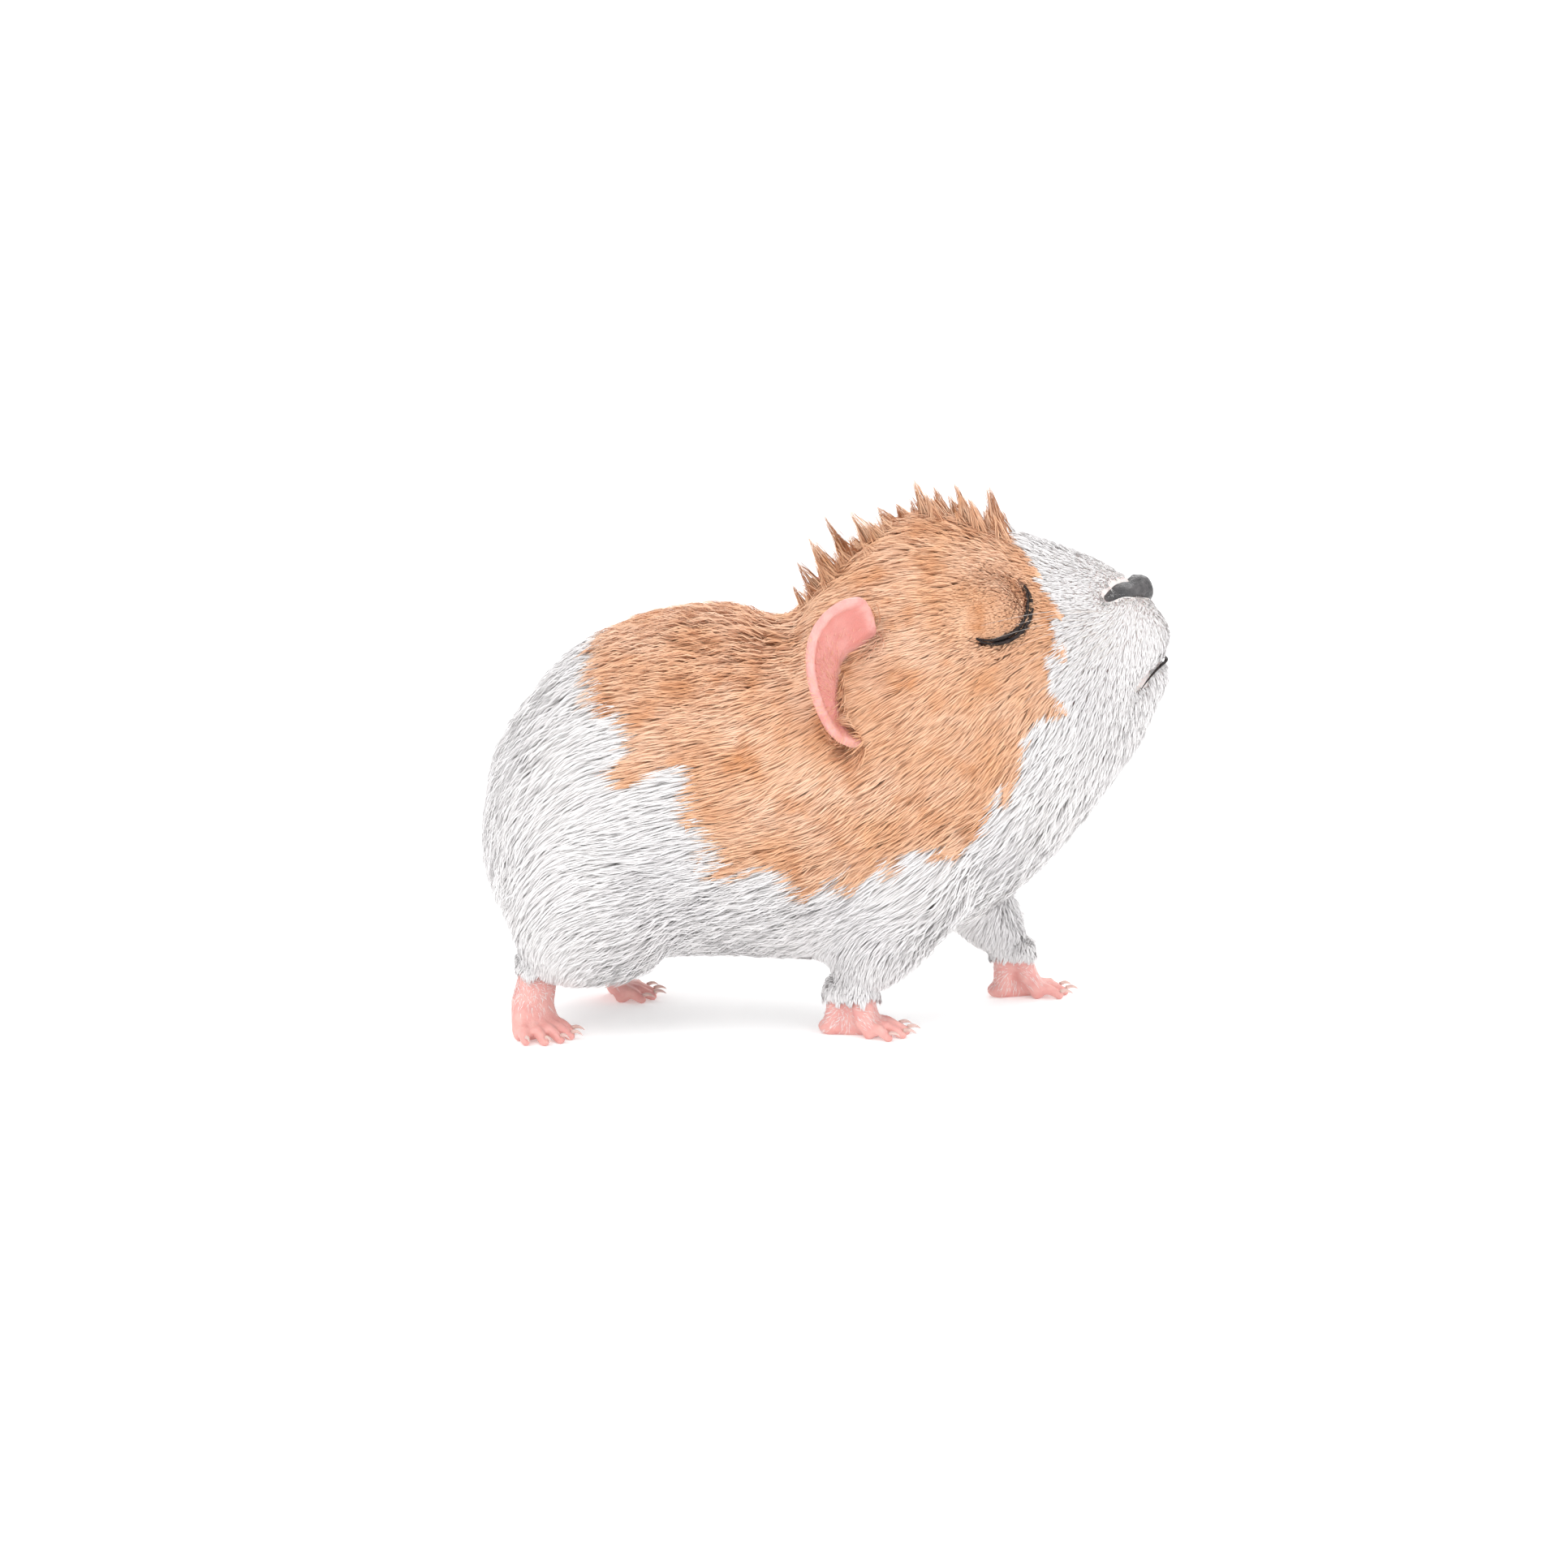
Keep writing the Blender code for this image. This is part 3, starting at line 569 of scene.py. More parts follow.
def waves(points, scale, seed):
    """Smooth noise from -1 to 1, from a few sine waves across the body."""
    draw = np.random.default_rng(seed)
    total = np.zeros(len(points))
    for _ in range(5):
        direction = unit(draw.normal(size=3)) * draw.uniform(0.6, 1.5) / scale
        total += np.sin(points @ direction * 2 * math.pi + draw.uniform(0, 2 * math.pi))
    return np.clip(total / 2.6, -1, 1)


# ---- Materials ----
class Finish:
    """A material whose Principled shader is fed by a few nodes."""

    def __init__(self, name, **sockets):
        self.material = bpy.data.materials.new(name)
        self.material.use_nodes = True
        self.tree = self.material.node_tree
        self.shader = self.tree.nodes["Principled BSDF"]
        for socket, value in sockets.items():
            self.shader.inputs[socket.replace("_", " ")].default_value = value

    def node(self, kind, output, inputs, **settings):
        """An output of a new node, whose inputs are constants or other nodes' outputs."""
        made = self.tree.nodes.new("ShaderNode" + kind)
        for name, value in settings.items():
            setattr(made, name, value)
        for socket, value in inputs.items():
            if isinstance(value, bpy.types.NodeSocket):
                self.tree.links.new(value, made.inputs[socket])
            else:
                made.inputs[socket].default_value = value
        return made.outputs[output]

    def attribute(self, name):
        return self.node("Attribute", "Fac", {}, attribute_name=name)

    def noise(self, scale, detail, span=None, to=(0, 1), stretch=(1, 1, 1)):
        """Noise with this many cells to a metre, and a span of its values spread out to another."""
        place = self.node("TexCoord", "Object", {})
        place = self.node("Mapping", "Vector", {"Vector": place, "Scale": stretch})
        found = self.node("TexNoise", "Fac", {"Vector": place, "Scale": scale, "Detail": detail})
        return self.ranged(found, span, to) if span else found

    def cells(self, scale):
        """Distance from the nearest cell's middle, with this many cells to a metre."""
        place = self.node("TexCoord", "Object", {})
        return self.node("TexVoronoi", "Distance", {"Vector": place, "Scale": scale})

    def ranged(self, value, span, to):
        limits = {"From Min": span[0], "From Max": span[1], "To Min": to[0], "To Max": to[1]}
        return self.node("MapRange", "Result", {"Value": value, **limits})

    def mix(self, share, first, second):
        """Two colours, or outputs, mixed by a number or an output."""
        first, second = ((*c, 1) if isinstance(c, tuple) else c for c in (first, second))
        return self.node("Mix", 2, {0: share, 6: first, 7: second}, data_type="RGBA")

    def feed(self, socket, value):
        self.tree.links.new(value, self.shader.inputs[socket])

    def bump(self, height, strength, distance):
        inputs = {"Height": height, "Strength": strength, "Distance": distance * MM}
        self.feed("Normal", self.node("Bump", "Normal", inputs))


def ginger_mix(finish):
    """Warm ginger in soft mottled patches from pale to deep."""
    pale = finish.mix(finish.noise(95, 4, (0.34, 0.68)), GINGER, PALE_GINGER)
    return finish.mix(finish.noise(150, 3, (0.52, 0.74)), pale, DEEP_GINGER)


def white_mix(finish):
    return finish.mix(finish.noise(60, 3, (0.35, 0.75)), *WHITE_TONES)


def skin_finish():
    """The skin under the coat, bare and pink on the feet, ears and tail."""
    depth = {"Subsurface_Scale": 0.0015, "Subsurface_Radius": (1, 0.35, 0.25)}
    finish = Finish("skin", Subsurface_Weight=0.18, **depth)
    furred = finish.mix(finish.attribute("ginger"), white_mix(finish), ginger_mix(finish))
    pink = finish.mix(finish.noise(500, 5, (0.35, 0.7)), *PINK_TONES)
    # deeper, darker pink in the ears' hollows: partly the skin's own colour, partly painted shade
    pink = finish.mix(finish.attribute("hollow"), pink, SHADED_HOLLOW_PINK)
    colour = finish.mix(finish.attribute("bare"), finish.mix(0.4, furred, SKIN_PINK), pink)
    finish.feed("Base Color", finish.mix(finish.attribute("dark"), colour, CHARCOAL))
    finish.feed("Roughness", finish.noise(900, 3, (0.3, 0.7), (0.42, 0.62)))
    finish.bump(finish.cells(2600), 0.35, 0.12)
    return finish


def coat_finish():
    """Tufts of hair: each has its own tone, and painted shade darkens it towards its root."""
    sheen = {"Sheen_Weight": 0.15, "Sheen_Roughness": 0.5}
    finish = Finish("coat", Roughness=0.62, Specular_IOR_Level=0.28, **sheen)
    ginger = finish.attribute("ginger")
    colour = finish.mix(ginger, white_mix(finish), ginger_mix(finish))
    tone = finish.ranged(finish.attribute("tone"), (0, 1), (0, 0.26))
    colour = finish.mix(tone, colour, finish.mix(ginger, *OWN_TONES))
    # painted shade: each tuft grows darker towards its root, where the coat shades itself
    along = finish.ranged(finish.attribute("along"), (0, 0.5), (0.30, 0))
    finish.feed("Base Color", finish.mix(along, colour, finish.mix(ginger, *ROOT_SHADE_TONES)))
    finish.bump(finish.noise(4200, 2), 0.25, 0.05)
    return finish


def mottled(name, colours, noise, **sockets):
    """A finish of two colours mixed by noise."""
    finish = Finish(name, **sockets)
    finish.feed("Base Color", finish.mix(finish.noise(*noise), *colours))
    return finish


def nose_finish():
    gloss = {"Specular_IOR_Level": 0.5, "Coat_Weight": 0.15, "Coat_Roughness": 0.25}
    finish = mottled("nose_leather", (CHARCOAL, PALE_CHARCOAL), (700, 4, (0.35, 0.7)), **gloss)
    finish.feed("Roughness", finish.noise(1300, 2, (0.3, 0.7), (0.30, 0.50)))
    finish.bump(finish.cells(3000), 0.6, 0.12)
    return finish


def eye_finish():
    gloss = {"Specular_IOR_Level": 0.6, "Coat_Weight": 0.4, "Coat_Roughness": 0.05}
    finish = mottled("eye", EYE_TONES, (900, 3), Roughness=0.08, **gloss)
    finish.bump(finish.noise(2500, 2), 0.08, 0.05)
    return finish


def rim_finish(name):
    """Dark, nearly dry bare skin along the lids and lips."""
    finish = mottled(name, RIM_TONES, (1500, 3, (0.35, 0.7)), Roughness=0.6, Specular_IOR_Level=0.25)
    finish.bump(finish.cells(4000), 0.3, 0.06)
    return finish


def horn_finish():
    depth = {"Subsurface_Weight": 0.2, "Subsurface_Scale": 0.0006}
    noise = (1200, 3, (0.3, 0.7), (0, 1), (1, 1, 3))
    finish = mottled("claw_horn", HORN_TONES, noise, Roughness=0.4, **depth)
    finish.bump(finish.noise(3500, 2, stretch=(1, 1, 4)), 0.2, 0.04)
    return finish


def whisker_finish():
    return mottled("whisker", WHISKER_TONES, (800, 2), Roughness=0.45, Specular_IOR_Level=0.35)


def floor_finish():
    light = {"Emission_Color": (1, 1, 1, 1), "Emission_Strength": 0.24}
    noise = (14, 6, (0.45, 0.75))
    return mottled("floor", FLOOR_TONES, noise, Roughness=0.9, Specular_IOR_Level=0.1, **light)


# ---- Building the skin ----
def store(data, **values):
    """Numbers at the points of a mesh, by name."""
    for name, numbers in values.items():
        attribute = data.attributes.new(name, "FLOAT", "POINT")
        attribute.data.foreach_set("value", np.asarray(numbers, np.float32))


def unwrap(skin):
    bpy.context.view_layer.objects.active = skin
    skin.select_set(True)
    bpy.ops.object.mode_set(mode="EDIT")
    bpy.ops.mesh.select_all(action="SELECT")
    bpy.ops.uv.smart_project(angle_limit=math.radians(66), island_margin=0.002)
    bpy.ops.object.mode_set(mode="OBJECT")
    skin.select_set(False)


def hollowness(points):
    """How deep points lie in the hollows of the ears, from 0 on a rim to 1."""
    depth = np.zeros(len(points))
    for name in EARS:
        close = np.flatnonzero(away(points, middle(name)) < 18)
        close = close[nearest(tree_of(welded([name])), points[close])[2] < 0.8]
        hull = bmesh.new()
        for place in node_points(name) * MM:
            hull.verts.new(place)
        bmesh.ops.convex_hull(hull, input=hull.verts)
        depth[close] = smoothstep(0.3, 1.6, nearest(tree_from(hull), points[close])[2])
    return depth


def darkness(points, tree):
    """1 between the lids, 0 elsewhere."""
    dark = np.zeros(len(points))
    for side in SIDES:
        close, distances, openness = near_lids(points, side, tree, 81)
        dark[close] = smoothstep(0.55, 0.25, distances - LIDS["half_gap"] * openness)
    return dark


def bareness(points):
    """1 on the feet, ankles, ears and tail, and 0 under the coat."""
    bare = smoothstep(0.9, 0.35, nearest(tree_of(welded(BARE)), points)[2])
    for foot in FEET:
        ankle = JOINTS[foot][0]
        above = points[:, 2] - ankle[2] - BARE_ABOVE[foot[:4]] + 0.6 * waves(points, 3, 9)
        bare = np.maximum(bare, smoothstep(0.5, -0.3, above) * (away(points, ankle) < ANKLE_REACH))
    return bare


def hair_length(points, from_lips, bare, dark):
    """How long the coat grows: short by the lips and the nose leather, and 0 where there is none."""
    from_nose = nearest(tree_of(NOSE_FORM), points)[2]
    length = np.minimum(by_place(LENGTHS, points), np.interp(from_lips, (0.35, 1.6, 5), (0.3, 0.9, 8)))
    length = np.minimum(length, np.interp(from_nose, (0.1, 1.5, 5), (0.4, 0.8, 8)))
    return length * ((bare < 0.6) & (dark < 0.2) & (from_lips > 0.3) & (from_nose > 0.3))


def build_skin():
    """The skin with its markings, and the form of the coat's tips as a tree."""
    form = smoothed(remeshed(welded([*FLESH, "eye_left", "eye_right", "nose"], 0.28), FORM_VOXEL), 2)
    form = smoothed(remeshed(without_crest(form), FORM_VOXEL), 3)
    together = shape_of(shrunk(form), *[rooted(name) for name in BARE])
    data = remeshed(filled(bpy.data.meshes.new("together"), together), SKIN_VOXEL)
    data = decimated(eased(smoothed(data, 2), 45), SKIN_TRIANGLES)
    from_lips = near_path(points_of(data), dense(mouth_path(tree_of(data), 61)))[1]
    data = pressed(data)
    data.name = "skin"
    points, tree = points_of(data), tree_of(data)
    points[:, 2] = points[:, 2].clip(0)
    move_to(data, points)
    bare, dark = bareness(points), darkness(points, tree)
    hair = hair_length(points, from_lips, bare, dark)
    store(data, ginger=in_patch(points), bare=bare, dark=dark, hollow=hollowness(points), hair=hair)
    skin = piece("skin", data, skin_finish())
    unwrap(skin)
    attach(skin, "root")
    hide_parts(*FLESH, *BARE)
    return skin, tree_of(form)


# ---- The coat ----
def lie(points, normals):
    """Which way the coat lies at each place: back from the nose, along the body, and down the legs."""
    from_nose = away(points, NOSE)
    radial = unit(points - NOSE)
    along = np.tile((-1.0, 0, -0.35), (len(points), 1))
    rump = smoothstep(-32, -54, points[:, 0])[:, None]
    along = along * (1 - rump) + np.array((-0.3, 0, -1.0)) * rump
    share = smoothstep(40, 75, from_nose)[:, None]
    flow = radial * (1 - share) + along * share
    low = smoothstep(20, 7, away(points, *ANKLES))[:, None]
    flow = flow * (1 - low) + np.array((-0.2, 0, -1.0)) * low
    side = unit(np.cross(normals, flow))
    turn = 0.18 * waves(points, 38, 5) + 0.08 * waves(points, 13, 6)
    return unit(flat_on(normals, flow) + side * turn[:, None])


def flat_on(normals, ways):
    """Ways turned to lie along a surface with these normals."""
    return unit(ways - normals * (ways * normals).sum(axis=1, keepdims=True))


class Surface:
    """The skin's mesh as arrays, to root hair in."""

    def __init__(self, data):
        self.data, self.tree = data, tree_of(data)
        self.corners = read(data.loops, "vertex_index", 1, np.int32).reshape(-1, 3)
        self.points, self.normals = points_of(data)[self.corners], normals_of(data)[self.corners]
        self.layer = read(data.uv_layers[0].data, "uv", 2).reshape(-1, 3, 2)
        self.places = self.points.mean(axis=1)
        a, b, c = self.points.swapaxes(0, 1)
        self.area = np.linalg.norm(np.cross(b - a, c - a), axis=1) / 2

    def values(self, name):
        """An attribute at the corners of each triangle."""
        return read(self.data.attributes[name].data, "value", 1)[self.corners, 0]

    def roots(self, weight, count, *extra):
        """Random places by the triangles' weight: point, normal, place on the unwrap, and other values."""
        total = np.cumsum(weight) / weight.sum()
        chosen = np.searchsorted(total, (np.arange(count) + rng.random(count)) / count)
        chosen = np.clip(chosen, 0, len(self.corners) - 1)
        a, b = rng.random(count), rng.random(count)
        over = a + b > 1
        a[over], b[over] = 1 - a[over], 1 - b[over]
        shares = np.stack((1 - a - b, a, b), axis=1)[:, :, None]
        arrays = (self.points, self.normals, self.layer)
        points, normals, uvs = ((v[chosen] * shares).sum(axis=1) for v in arrays)
        more = [(v[chosen] * shares[:, :, 0]).sum(axis=1) for v in extra]
        return points, unit(normals), uvs, *more

    def under(self, place):
        """The nearest place on the skin: the point, the normal and the place on the unwrap."""
        point, normal, face, _ = self.tree.find_nearest(Vector(place) * MM)
        return np.array(point) / MM, np.array(normal), self.layer[face].mean(axis=0)

    def below(self, x, y):
        """The skin's highest place at x and y, as under() gives it."""
        return self.under(met_by_ray(self.tree, (x, y, ABOVE), DOWN))


# A tuft's points, from root to tip: the share of its length at each row, each point's row, its place across
# the tuft, in widths, and its place on the OFBake patch.
ROWS = np.array((0.0, 0.36, 0.72, 1.0))
TUFT_ROWS = np.array((0, 0, 1, 1, 2, 2, 3))
TUFT_SIDES = np.array((-0.375, 0.375, -0.5, 0.5, -0.31, 0.31, 0))
PATCH_PLACES = np.stack(((0.1, 0.9, 0, 1, 0.2, 0.8, 0.5), ROWS[TUFT_ROWS]), axis=1) * PATCH
TUFT_FACES = np.array(((0, 1, 3), (0, 3, 2), (2, 3, 5), (2, 5, 4), (4, 5, 6)))
MARKED_AT = 0.62  # the share of a tuft's length where the markings set its colour


def tuft_paths(roots, normals, flow, lengths, lifts):
    """Curved paths that rise from the skin, then lie along it, and settle onto the feet at the ankles."""
    radius = np.interp(away(roots, NOSE), (5, 20, 50), (6, 14, 27))
    settling = 0.8 * smoothstep(ANKLE_REACH, 2, away(roots, *ANKLES))
    paths = np.zeros((len(roots), 4, 3))
    for row, share in enumerate(ROWS):
        ahead = lengths * (0.55 * share + 0.45 * share**2)
        above = lifts * (1 - (1 - share) ** 2) * (1 - settling * share**2) - ahead**2 / (2 * radius)
        paths[:, row] = roots + flow * ahead[:, None] + normals * (above - 0.1 * (1 - share))[:, None]
    return paths


def bent_path(root, bend, end):
    shares = ROWS[:, None]
    return root * (1 - shares) ** 2 + 2 * bend * shares * (1 - shares) + end * shares**2


def tufts(paths, ups, across, uvs, widths, ginger, tone):
    """Tufts as arrays by name, each turned so that its face looks out of the body."""
    facing = (np.cross(across, paths[:, 3] - paths[:, 0]) * ups).sum(axis=1, keepdims=True)
    found = {"paths": paths, "ups": ups, "across": across * np.where(facing < 0, -1, 1), "uvs": uvs}
    for name, values in (("widths", widths), ("ginger", ginger), ("tone", tone)):
        found[name] = np.broadcast_to(values, len(paths))
    return found


def gathered(found, width, ginger, tone):
    """Tufts from a list of their paths, ups, ways across and places on the unwrap."""
    widths = rng.uniform(0.7, 1.2, len(found)) * width
    arrays = [np.array(values) for values in zip(*found)]
    return tufts(*arrays, widths, ginger, rng.random(len(found)) * tone)


def body_tufts(surface):
    """The coat itself: tufts that lie along the body, drawn together in small clumps."""
    hair = surface.values("hair")
    thickness = np.maximum(hair.mean(axis=1), 0.1) * by_place(WIDTHS, surface.places)
    layers = by_place(LAYERS, surface.places) * (hair.min(axis=1) > 0)
    roots, normals, uvs, hair = surface.roots(surface.area * layers / thickness, TUFTS, hair)
    strays = rng.normal(size=(TUFTS, 3)) * 0.10
    flow = flat_on(normals, lie(roots, normals) + strays)
    lengths = hair * rng.uniform(0.62, 1.08, TUFTS)
    lifts = np.minimum(by_place(DEPTHS, roots), hair) * rng.uniform(0.60, 1.10, TUFTS)
    paths = tuft_paths(roots, normals, flow, lengths, lifts)

    leaders = clumps_of(roots, hair)
    coloured = paths[:, 1] + (paths[:, 2] - paths[:, 1]) * (MARKED_AT - ROWS[1]) / (ROWS[2] - ROWS[1])
    marked = in_patch(coloured)
    ginger = np.where(rng.random(TUFTS) < 0.5, marked, marked[leaders])
    pull = CLUMPING * rng.uniform(0.5, 1.1, TUFTS)
    pull *= 1 + 0.9 * smoothstep(ANKLE_REACH, 5, away(roots, *ANKLES))
    for row, share in enumerate(ROWS):
        drawn = (paths[leaders, row] - paths[:, row]) * (pull * share**1.6)[:, None]
        drawn -= normals * (drawn * normals).sum(axis=1, keepdims=True) * 0.6
        paths[:, row] += drawn

    roll = rng.uniform(-0.7, 0.7, TUFTS)[:, None]
    across = unit(unit(np.cross(normals, flow)) * np.cos(roll) + normals * np.sin(roll))
    widths = by_place(WIDTHS, roots) * rng.uniform(0.75, 1.25, TUFTS)
    tone = 0.5 * rng.random(TUFTS)[leaders] + 0.5 * rng.random(TUFTS)
    return tufts(paths, normals, across, uvs, widths, ginger, tone)


def clumps_of(roots, hair):
    """Each tuft's clump: the nearest of fewer tufts, which stand further apart in a longer coat."""
    keep = rng.random(len(roots)) < np.interp(hair, (0.6, 3.0, 8.0), (0.07, 0.05, 0.04))
    leaders = np.flatnonzero(keep)
    return leaders[near_path(roots, roots[leaders])[0]]


def crest_tufts(surface):
    """The ruffled locks, each run together to a point, with smaller ones round it."""
    found = []
    for x, y, tip_x, tip_z in CREST_LOCKS:
        skin_z = surface.below(x, y)[0][2]
        locks = [(x, y, 1.0)]
        for _ in range(LOCK["companions"]):
            turn, reach = rng.uniform(0, 2 * math.pi), rng.uniform(*LOCK["reach"])
            foot_x, foot_y = x + 0.6 * reach * math.cos(turn), y + reach * math.sin(turn)
            locks.append((foot_x, foot_y, rng.uniform(*LOCK["height"])))
        for foot_x, foot_y, height in locks:
            base = surface.below(foot_x, foot_y)[0]
            rise = np.array((tip_x - x, 0, tip_z - skin_z)) * height + (0, 0.3 * (foot_y - y), 0)
            for _ in range(int(LOCK["tufts"] * height)):
                root_x = foot_x + rng.uniform(-LOCK["behind"], LOCK["ahead"])
                root, up, uv = surface.below(root_x, foot_y + rng.uniform(-1, 1) * LOCK["across"])
                end = base + rise * (1 - rng.uniform(0, 0.6) ** 1.3) + rng.normal(size=3) * LOCK["spread"]
                bend = (root + end) / 2 + (root - base) * 0.15 + up * 0.5
                across = unit(np.cross(end - root, rng.normal(size=3)))
                found.append((bent_path(root, bend, end), up, across, uv))
    roots = np.array([path[0] for path, *_ in found])
    return gathered(found, LOCK["width"], in_patch(roots), 0.8)


def edge_tufts(surface, outer):
    """The pointed ginger locks that run out over the white coat at the patch's edge, on both sides."""
    found = []
    for side, (x, z, angle, length) in itertools.product((-1, 1), PATCH_LOCKS):
        way = np.array((math.cos(math.radians(angle)), math.sin(math.radians(angle))))
        tip, beside = np.array((x, z)), np.array((-way[1], way[0]))
        inward = np.array((0, -side, 0)) * PATCH_LOCK["under"]
        for _ in range(PATCH_LOCK["tufts"]):
            off, back = rng.normal() * 0.55, rng.uniform(0, 1)
            foot = tip - way * length * (0.9 + 0.5 * back) + beside * PATCH_LOCK["radius"] * length * off
            goal = tip - way * 0.5 * length * rng.random() ** 1.5
            goal = goal + beside * 0.12 * off * np.linalg.norm(goal - tip)
            flat_path = (foot, foot + (goal - foot) * 0.45, goal)
            on_coat = [met_by_ray(outer, (p[0], 60 * side, p[1]), (0, -side, 0)) for p in flat_path]
            if any(place is None for place in on_coat):
                continue
            start, bend, end = on_coat
            root, up, uv = surface.under(start)
            bend = bend + inward * rng.uniform(-1.0, 1.5)
            across = unit(np.cross(up, end - root) + rng.normal(size=3) * 0.3)
            found.append((bent_path(root, bend, end + inward), up, across, uv))
    return gathered(found, PATCH_LOCK["width"], 1.0, 0.7)


def fuzz_tufts(surface, places, fuzz):
    """Short hair on bare skin, sparser further from its places and in the hollow of an ear."""
    weight = surface.area * smoothstep(fuzz["reach"], 0.2 * fuzz["reach"], away(surface.places, *places))
    weight *= surface.values("bare").min(axis=1) * (1 - 0.8 * surface.values("hollow").max(axis=1))
    weight *= np.maximum(surface.normals[:, 0, 2], -0.6) + 0.6
    roots, normals, uvs = surface.roots(weight, fuzz["tufts"])
    from_place = np.array([roots - p for p in places])
    closest = np.linalg.norm(from_place, axis=2).argmin(axis=0)
    flow = flat_on(normals, from_place[closest, np.arange(len(roots))] + rng.normal(size=roots.shape))
    lengths = fuzz["length"] * rng.uniform(0.6, 1.2, len(roots))
    paths = tuft_paths(roots, normals, flow, lengths, 0.25 * lengths)
    across = unit(np.cross(normals, flow))
    return tufts(paths, normals, across, uvs, FUZZ_WIDTH, fuzz["ginger"], rng.random(len(roots)) * 0.5)


def coat_piece(name, finish, hair):
    """Tufts as tapered ribbons, lit partly as the body under them is."""
    sides = (hair["widths"][:, None] * TUFT_SIDES)[:, :, None]
    points = (hair["paths"][:, TUFT_ROWS] + hair["across"][:, None] * sides).reshape(-1, 3)
    points[:, 2] = points[:, 2].clip(LOWEST_HAIR)
    count, each = len(hair["paths"]), len(TUFT_ROWS)
    corners = (np.arange(count)[:, None, None] * each + TUFT_FACES).reshape(-1, 3)
    data = mesh(name, points, corners)
    places = (hair["uvs"][:, None, :] - PATCH / 2 + PATCH_PLACES).reshape(-1, 2)
    data.uv_layers.new(name="OFBake").data.foreach_set("uv", places[corners.ravel()].ravel())
    store(data, ginger=np.repeat(hair["ginger"], each), tone=np.repeat(hair["tone"], each))
    store(data, along=np.tile(ROWS[TUFT_ROWS], count))
    made = piece(name, data, finish)
    own = unit(np.cross(hair["across"], hair["paths"][:, 3] - hair["paths"][:, 0]))
    soft = unit(own * (1 - SOFTNESS) + hair["ups"] * SOFTNESS)
    data.normals_split_custom_set_from_vertices(np.repeat(soft, each, axis=0))
    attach(made, "root")


def build_coat(skin, outer):
    surface = Surface(skin.data)
    groups = [
        body_tufts(surface),
        crest_tufts(surface),
        edge_tufts(surface, outer),
        fuzz_tufts(surface, EAR_ROOTS, EAR_FUZZ),
        fuzz_tufts(surface, ANKLES, FOOT_FUZZ),
    ]
    hair = {name: np.concatenate([group[name] for group in groups]) for name in groups[0]}
    finish = coat_finish()
    for i, part in enumerate(np.array_split(rng.permutation(len(hair["paths"])), COAT_PIECES)):
        coat_piece(f"coat_{i}", finish, {name: values[part] for name, values in hair.items()})


# ---- Eyes, nose, claws and whiskers ----
def ringed(rings, sides):
    """The faces over rings of points, and over the two end points that come after them."""
    faces, low, high = [], rings * sides, rings * sides + 1
    for a in range(0, (rings - 1) * sides, sides):
        b = a + sides
        for j in range(sides):
            k = (j + 1) % sides
            faces += [(a + j, b + j, b + k), (a + j, b + k, a + k)]
    last = (rings - 1) * sides
    for j in range(sides):
        k = (j + 1) % sides
        faces += [(low, j, k), (high, last + k, last + j)]
    return np.array(faces)


def tube(path, radii, sides=8, flat=1.0):
    """A closed round rod along a path, with a radius at each point."""
    path = np.asarray(path, float)
    along = unit(np.gradient(path, axis=0))
    across = unit(np.cross(along, (0.0, 0.0, 1.0)))
    third = np.cross(across, along)
    turns = np.linspace(0, 2 * math.pi, sides, endpoint=False)
    rings = [
        p + r * (np.outer(np.cos(turns), a) + np.outer(np.sin(turns), t) * flat)
        for p, r, a, t in zip(path, radii, across, third)
    ]
    return np.vstack([*rings, path[:1], path[-1:]]), ringed(len(path), sides)


def several(parts):
    """Points and faces of many parts as one."""
    points, faces, start = [], [], 0
    for part_points, part_faces in parts:
        points.append(part_points)
        faces.append(part_faces + start)
        start += len(part_points)
    return np.vstack(points), np.vstack(faces)


def ball(centre, axes, radii, columns=48, rows=24):
    """An ellipsoid on its own axes."""
    lifts = np.linspace(0, math.pi, rows + 1)[1:-1]
    turns = np.linspace(0, 2 * math.pi, columns, endpoint=False)
    local = [
        (math.sin(lift) * math.cos(turn), math.cos(lift), math.sin(lift) * math.sin(turn))
        for lift, turn in itertools.product(lifts, turns)
    ]
    local = np.array([*local, (0, 1, 0), (0, -1, 0)]) * radii
    return centre + local @ np.array(axes), ringed(rows - 1, columns)


def build_eyes(outer):
    """The eyeballs under the closed lids, and the dark rims of the lids."""
    rims = []
    for side in SIDES:
        axes = eye_axes(side)
        outward = axes[1]
        eyeball = closed("eyeball", *ball(middle(f"eye_{side}") - outward * 0.1, axes, EYE_RADII))
        eye = piece(f"eyeball_{side}", eyeball, eye_finish())
        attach(eye, "root")
        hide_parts(f"eye_{side}")
        path, openness = lid_path(side, outer, 41)
        sideways = unit(np.cross(np.gradient(path, axis=0), outward))
        for lean in (-1, 1):
            offset = sideways * ((LIDS["half_gap"] * openness + 0.05) * lean)[:, None]
            rims.append(tube(path + offset - outward * 0.12, 0.10 + LIDS["rim"] * openness, 8, 0.9))
    rim = piece("eye_rims", closed("eye_rims", *several(rims)), rim_finish("lid_rim"))
    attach(rim, "root")


def build_lips(outer):
    """The dark line where the lips meet, finer towards its corners."""
    path = mouth_path(outer, 81)
    shares = np.abs(np.linspace(-1, 1, len(path)))
    radii = MOUTH["lip"] * (1 - 0.8 * shares**2.5)
    lips = piece("lips", closed("lips", *tube(path, radii, 8)), rim_finish("lip"))
    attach(lips, "root")


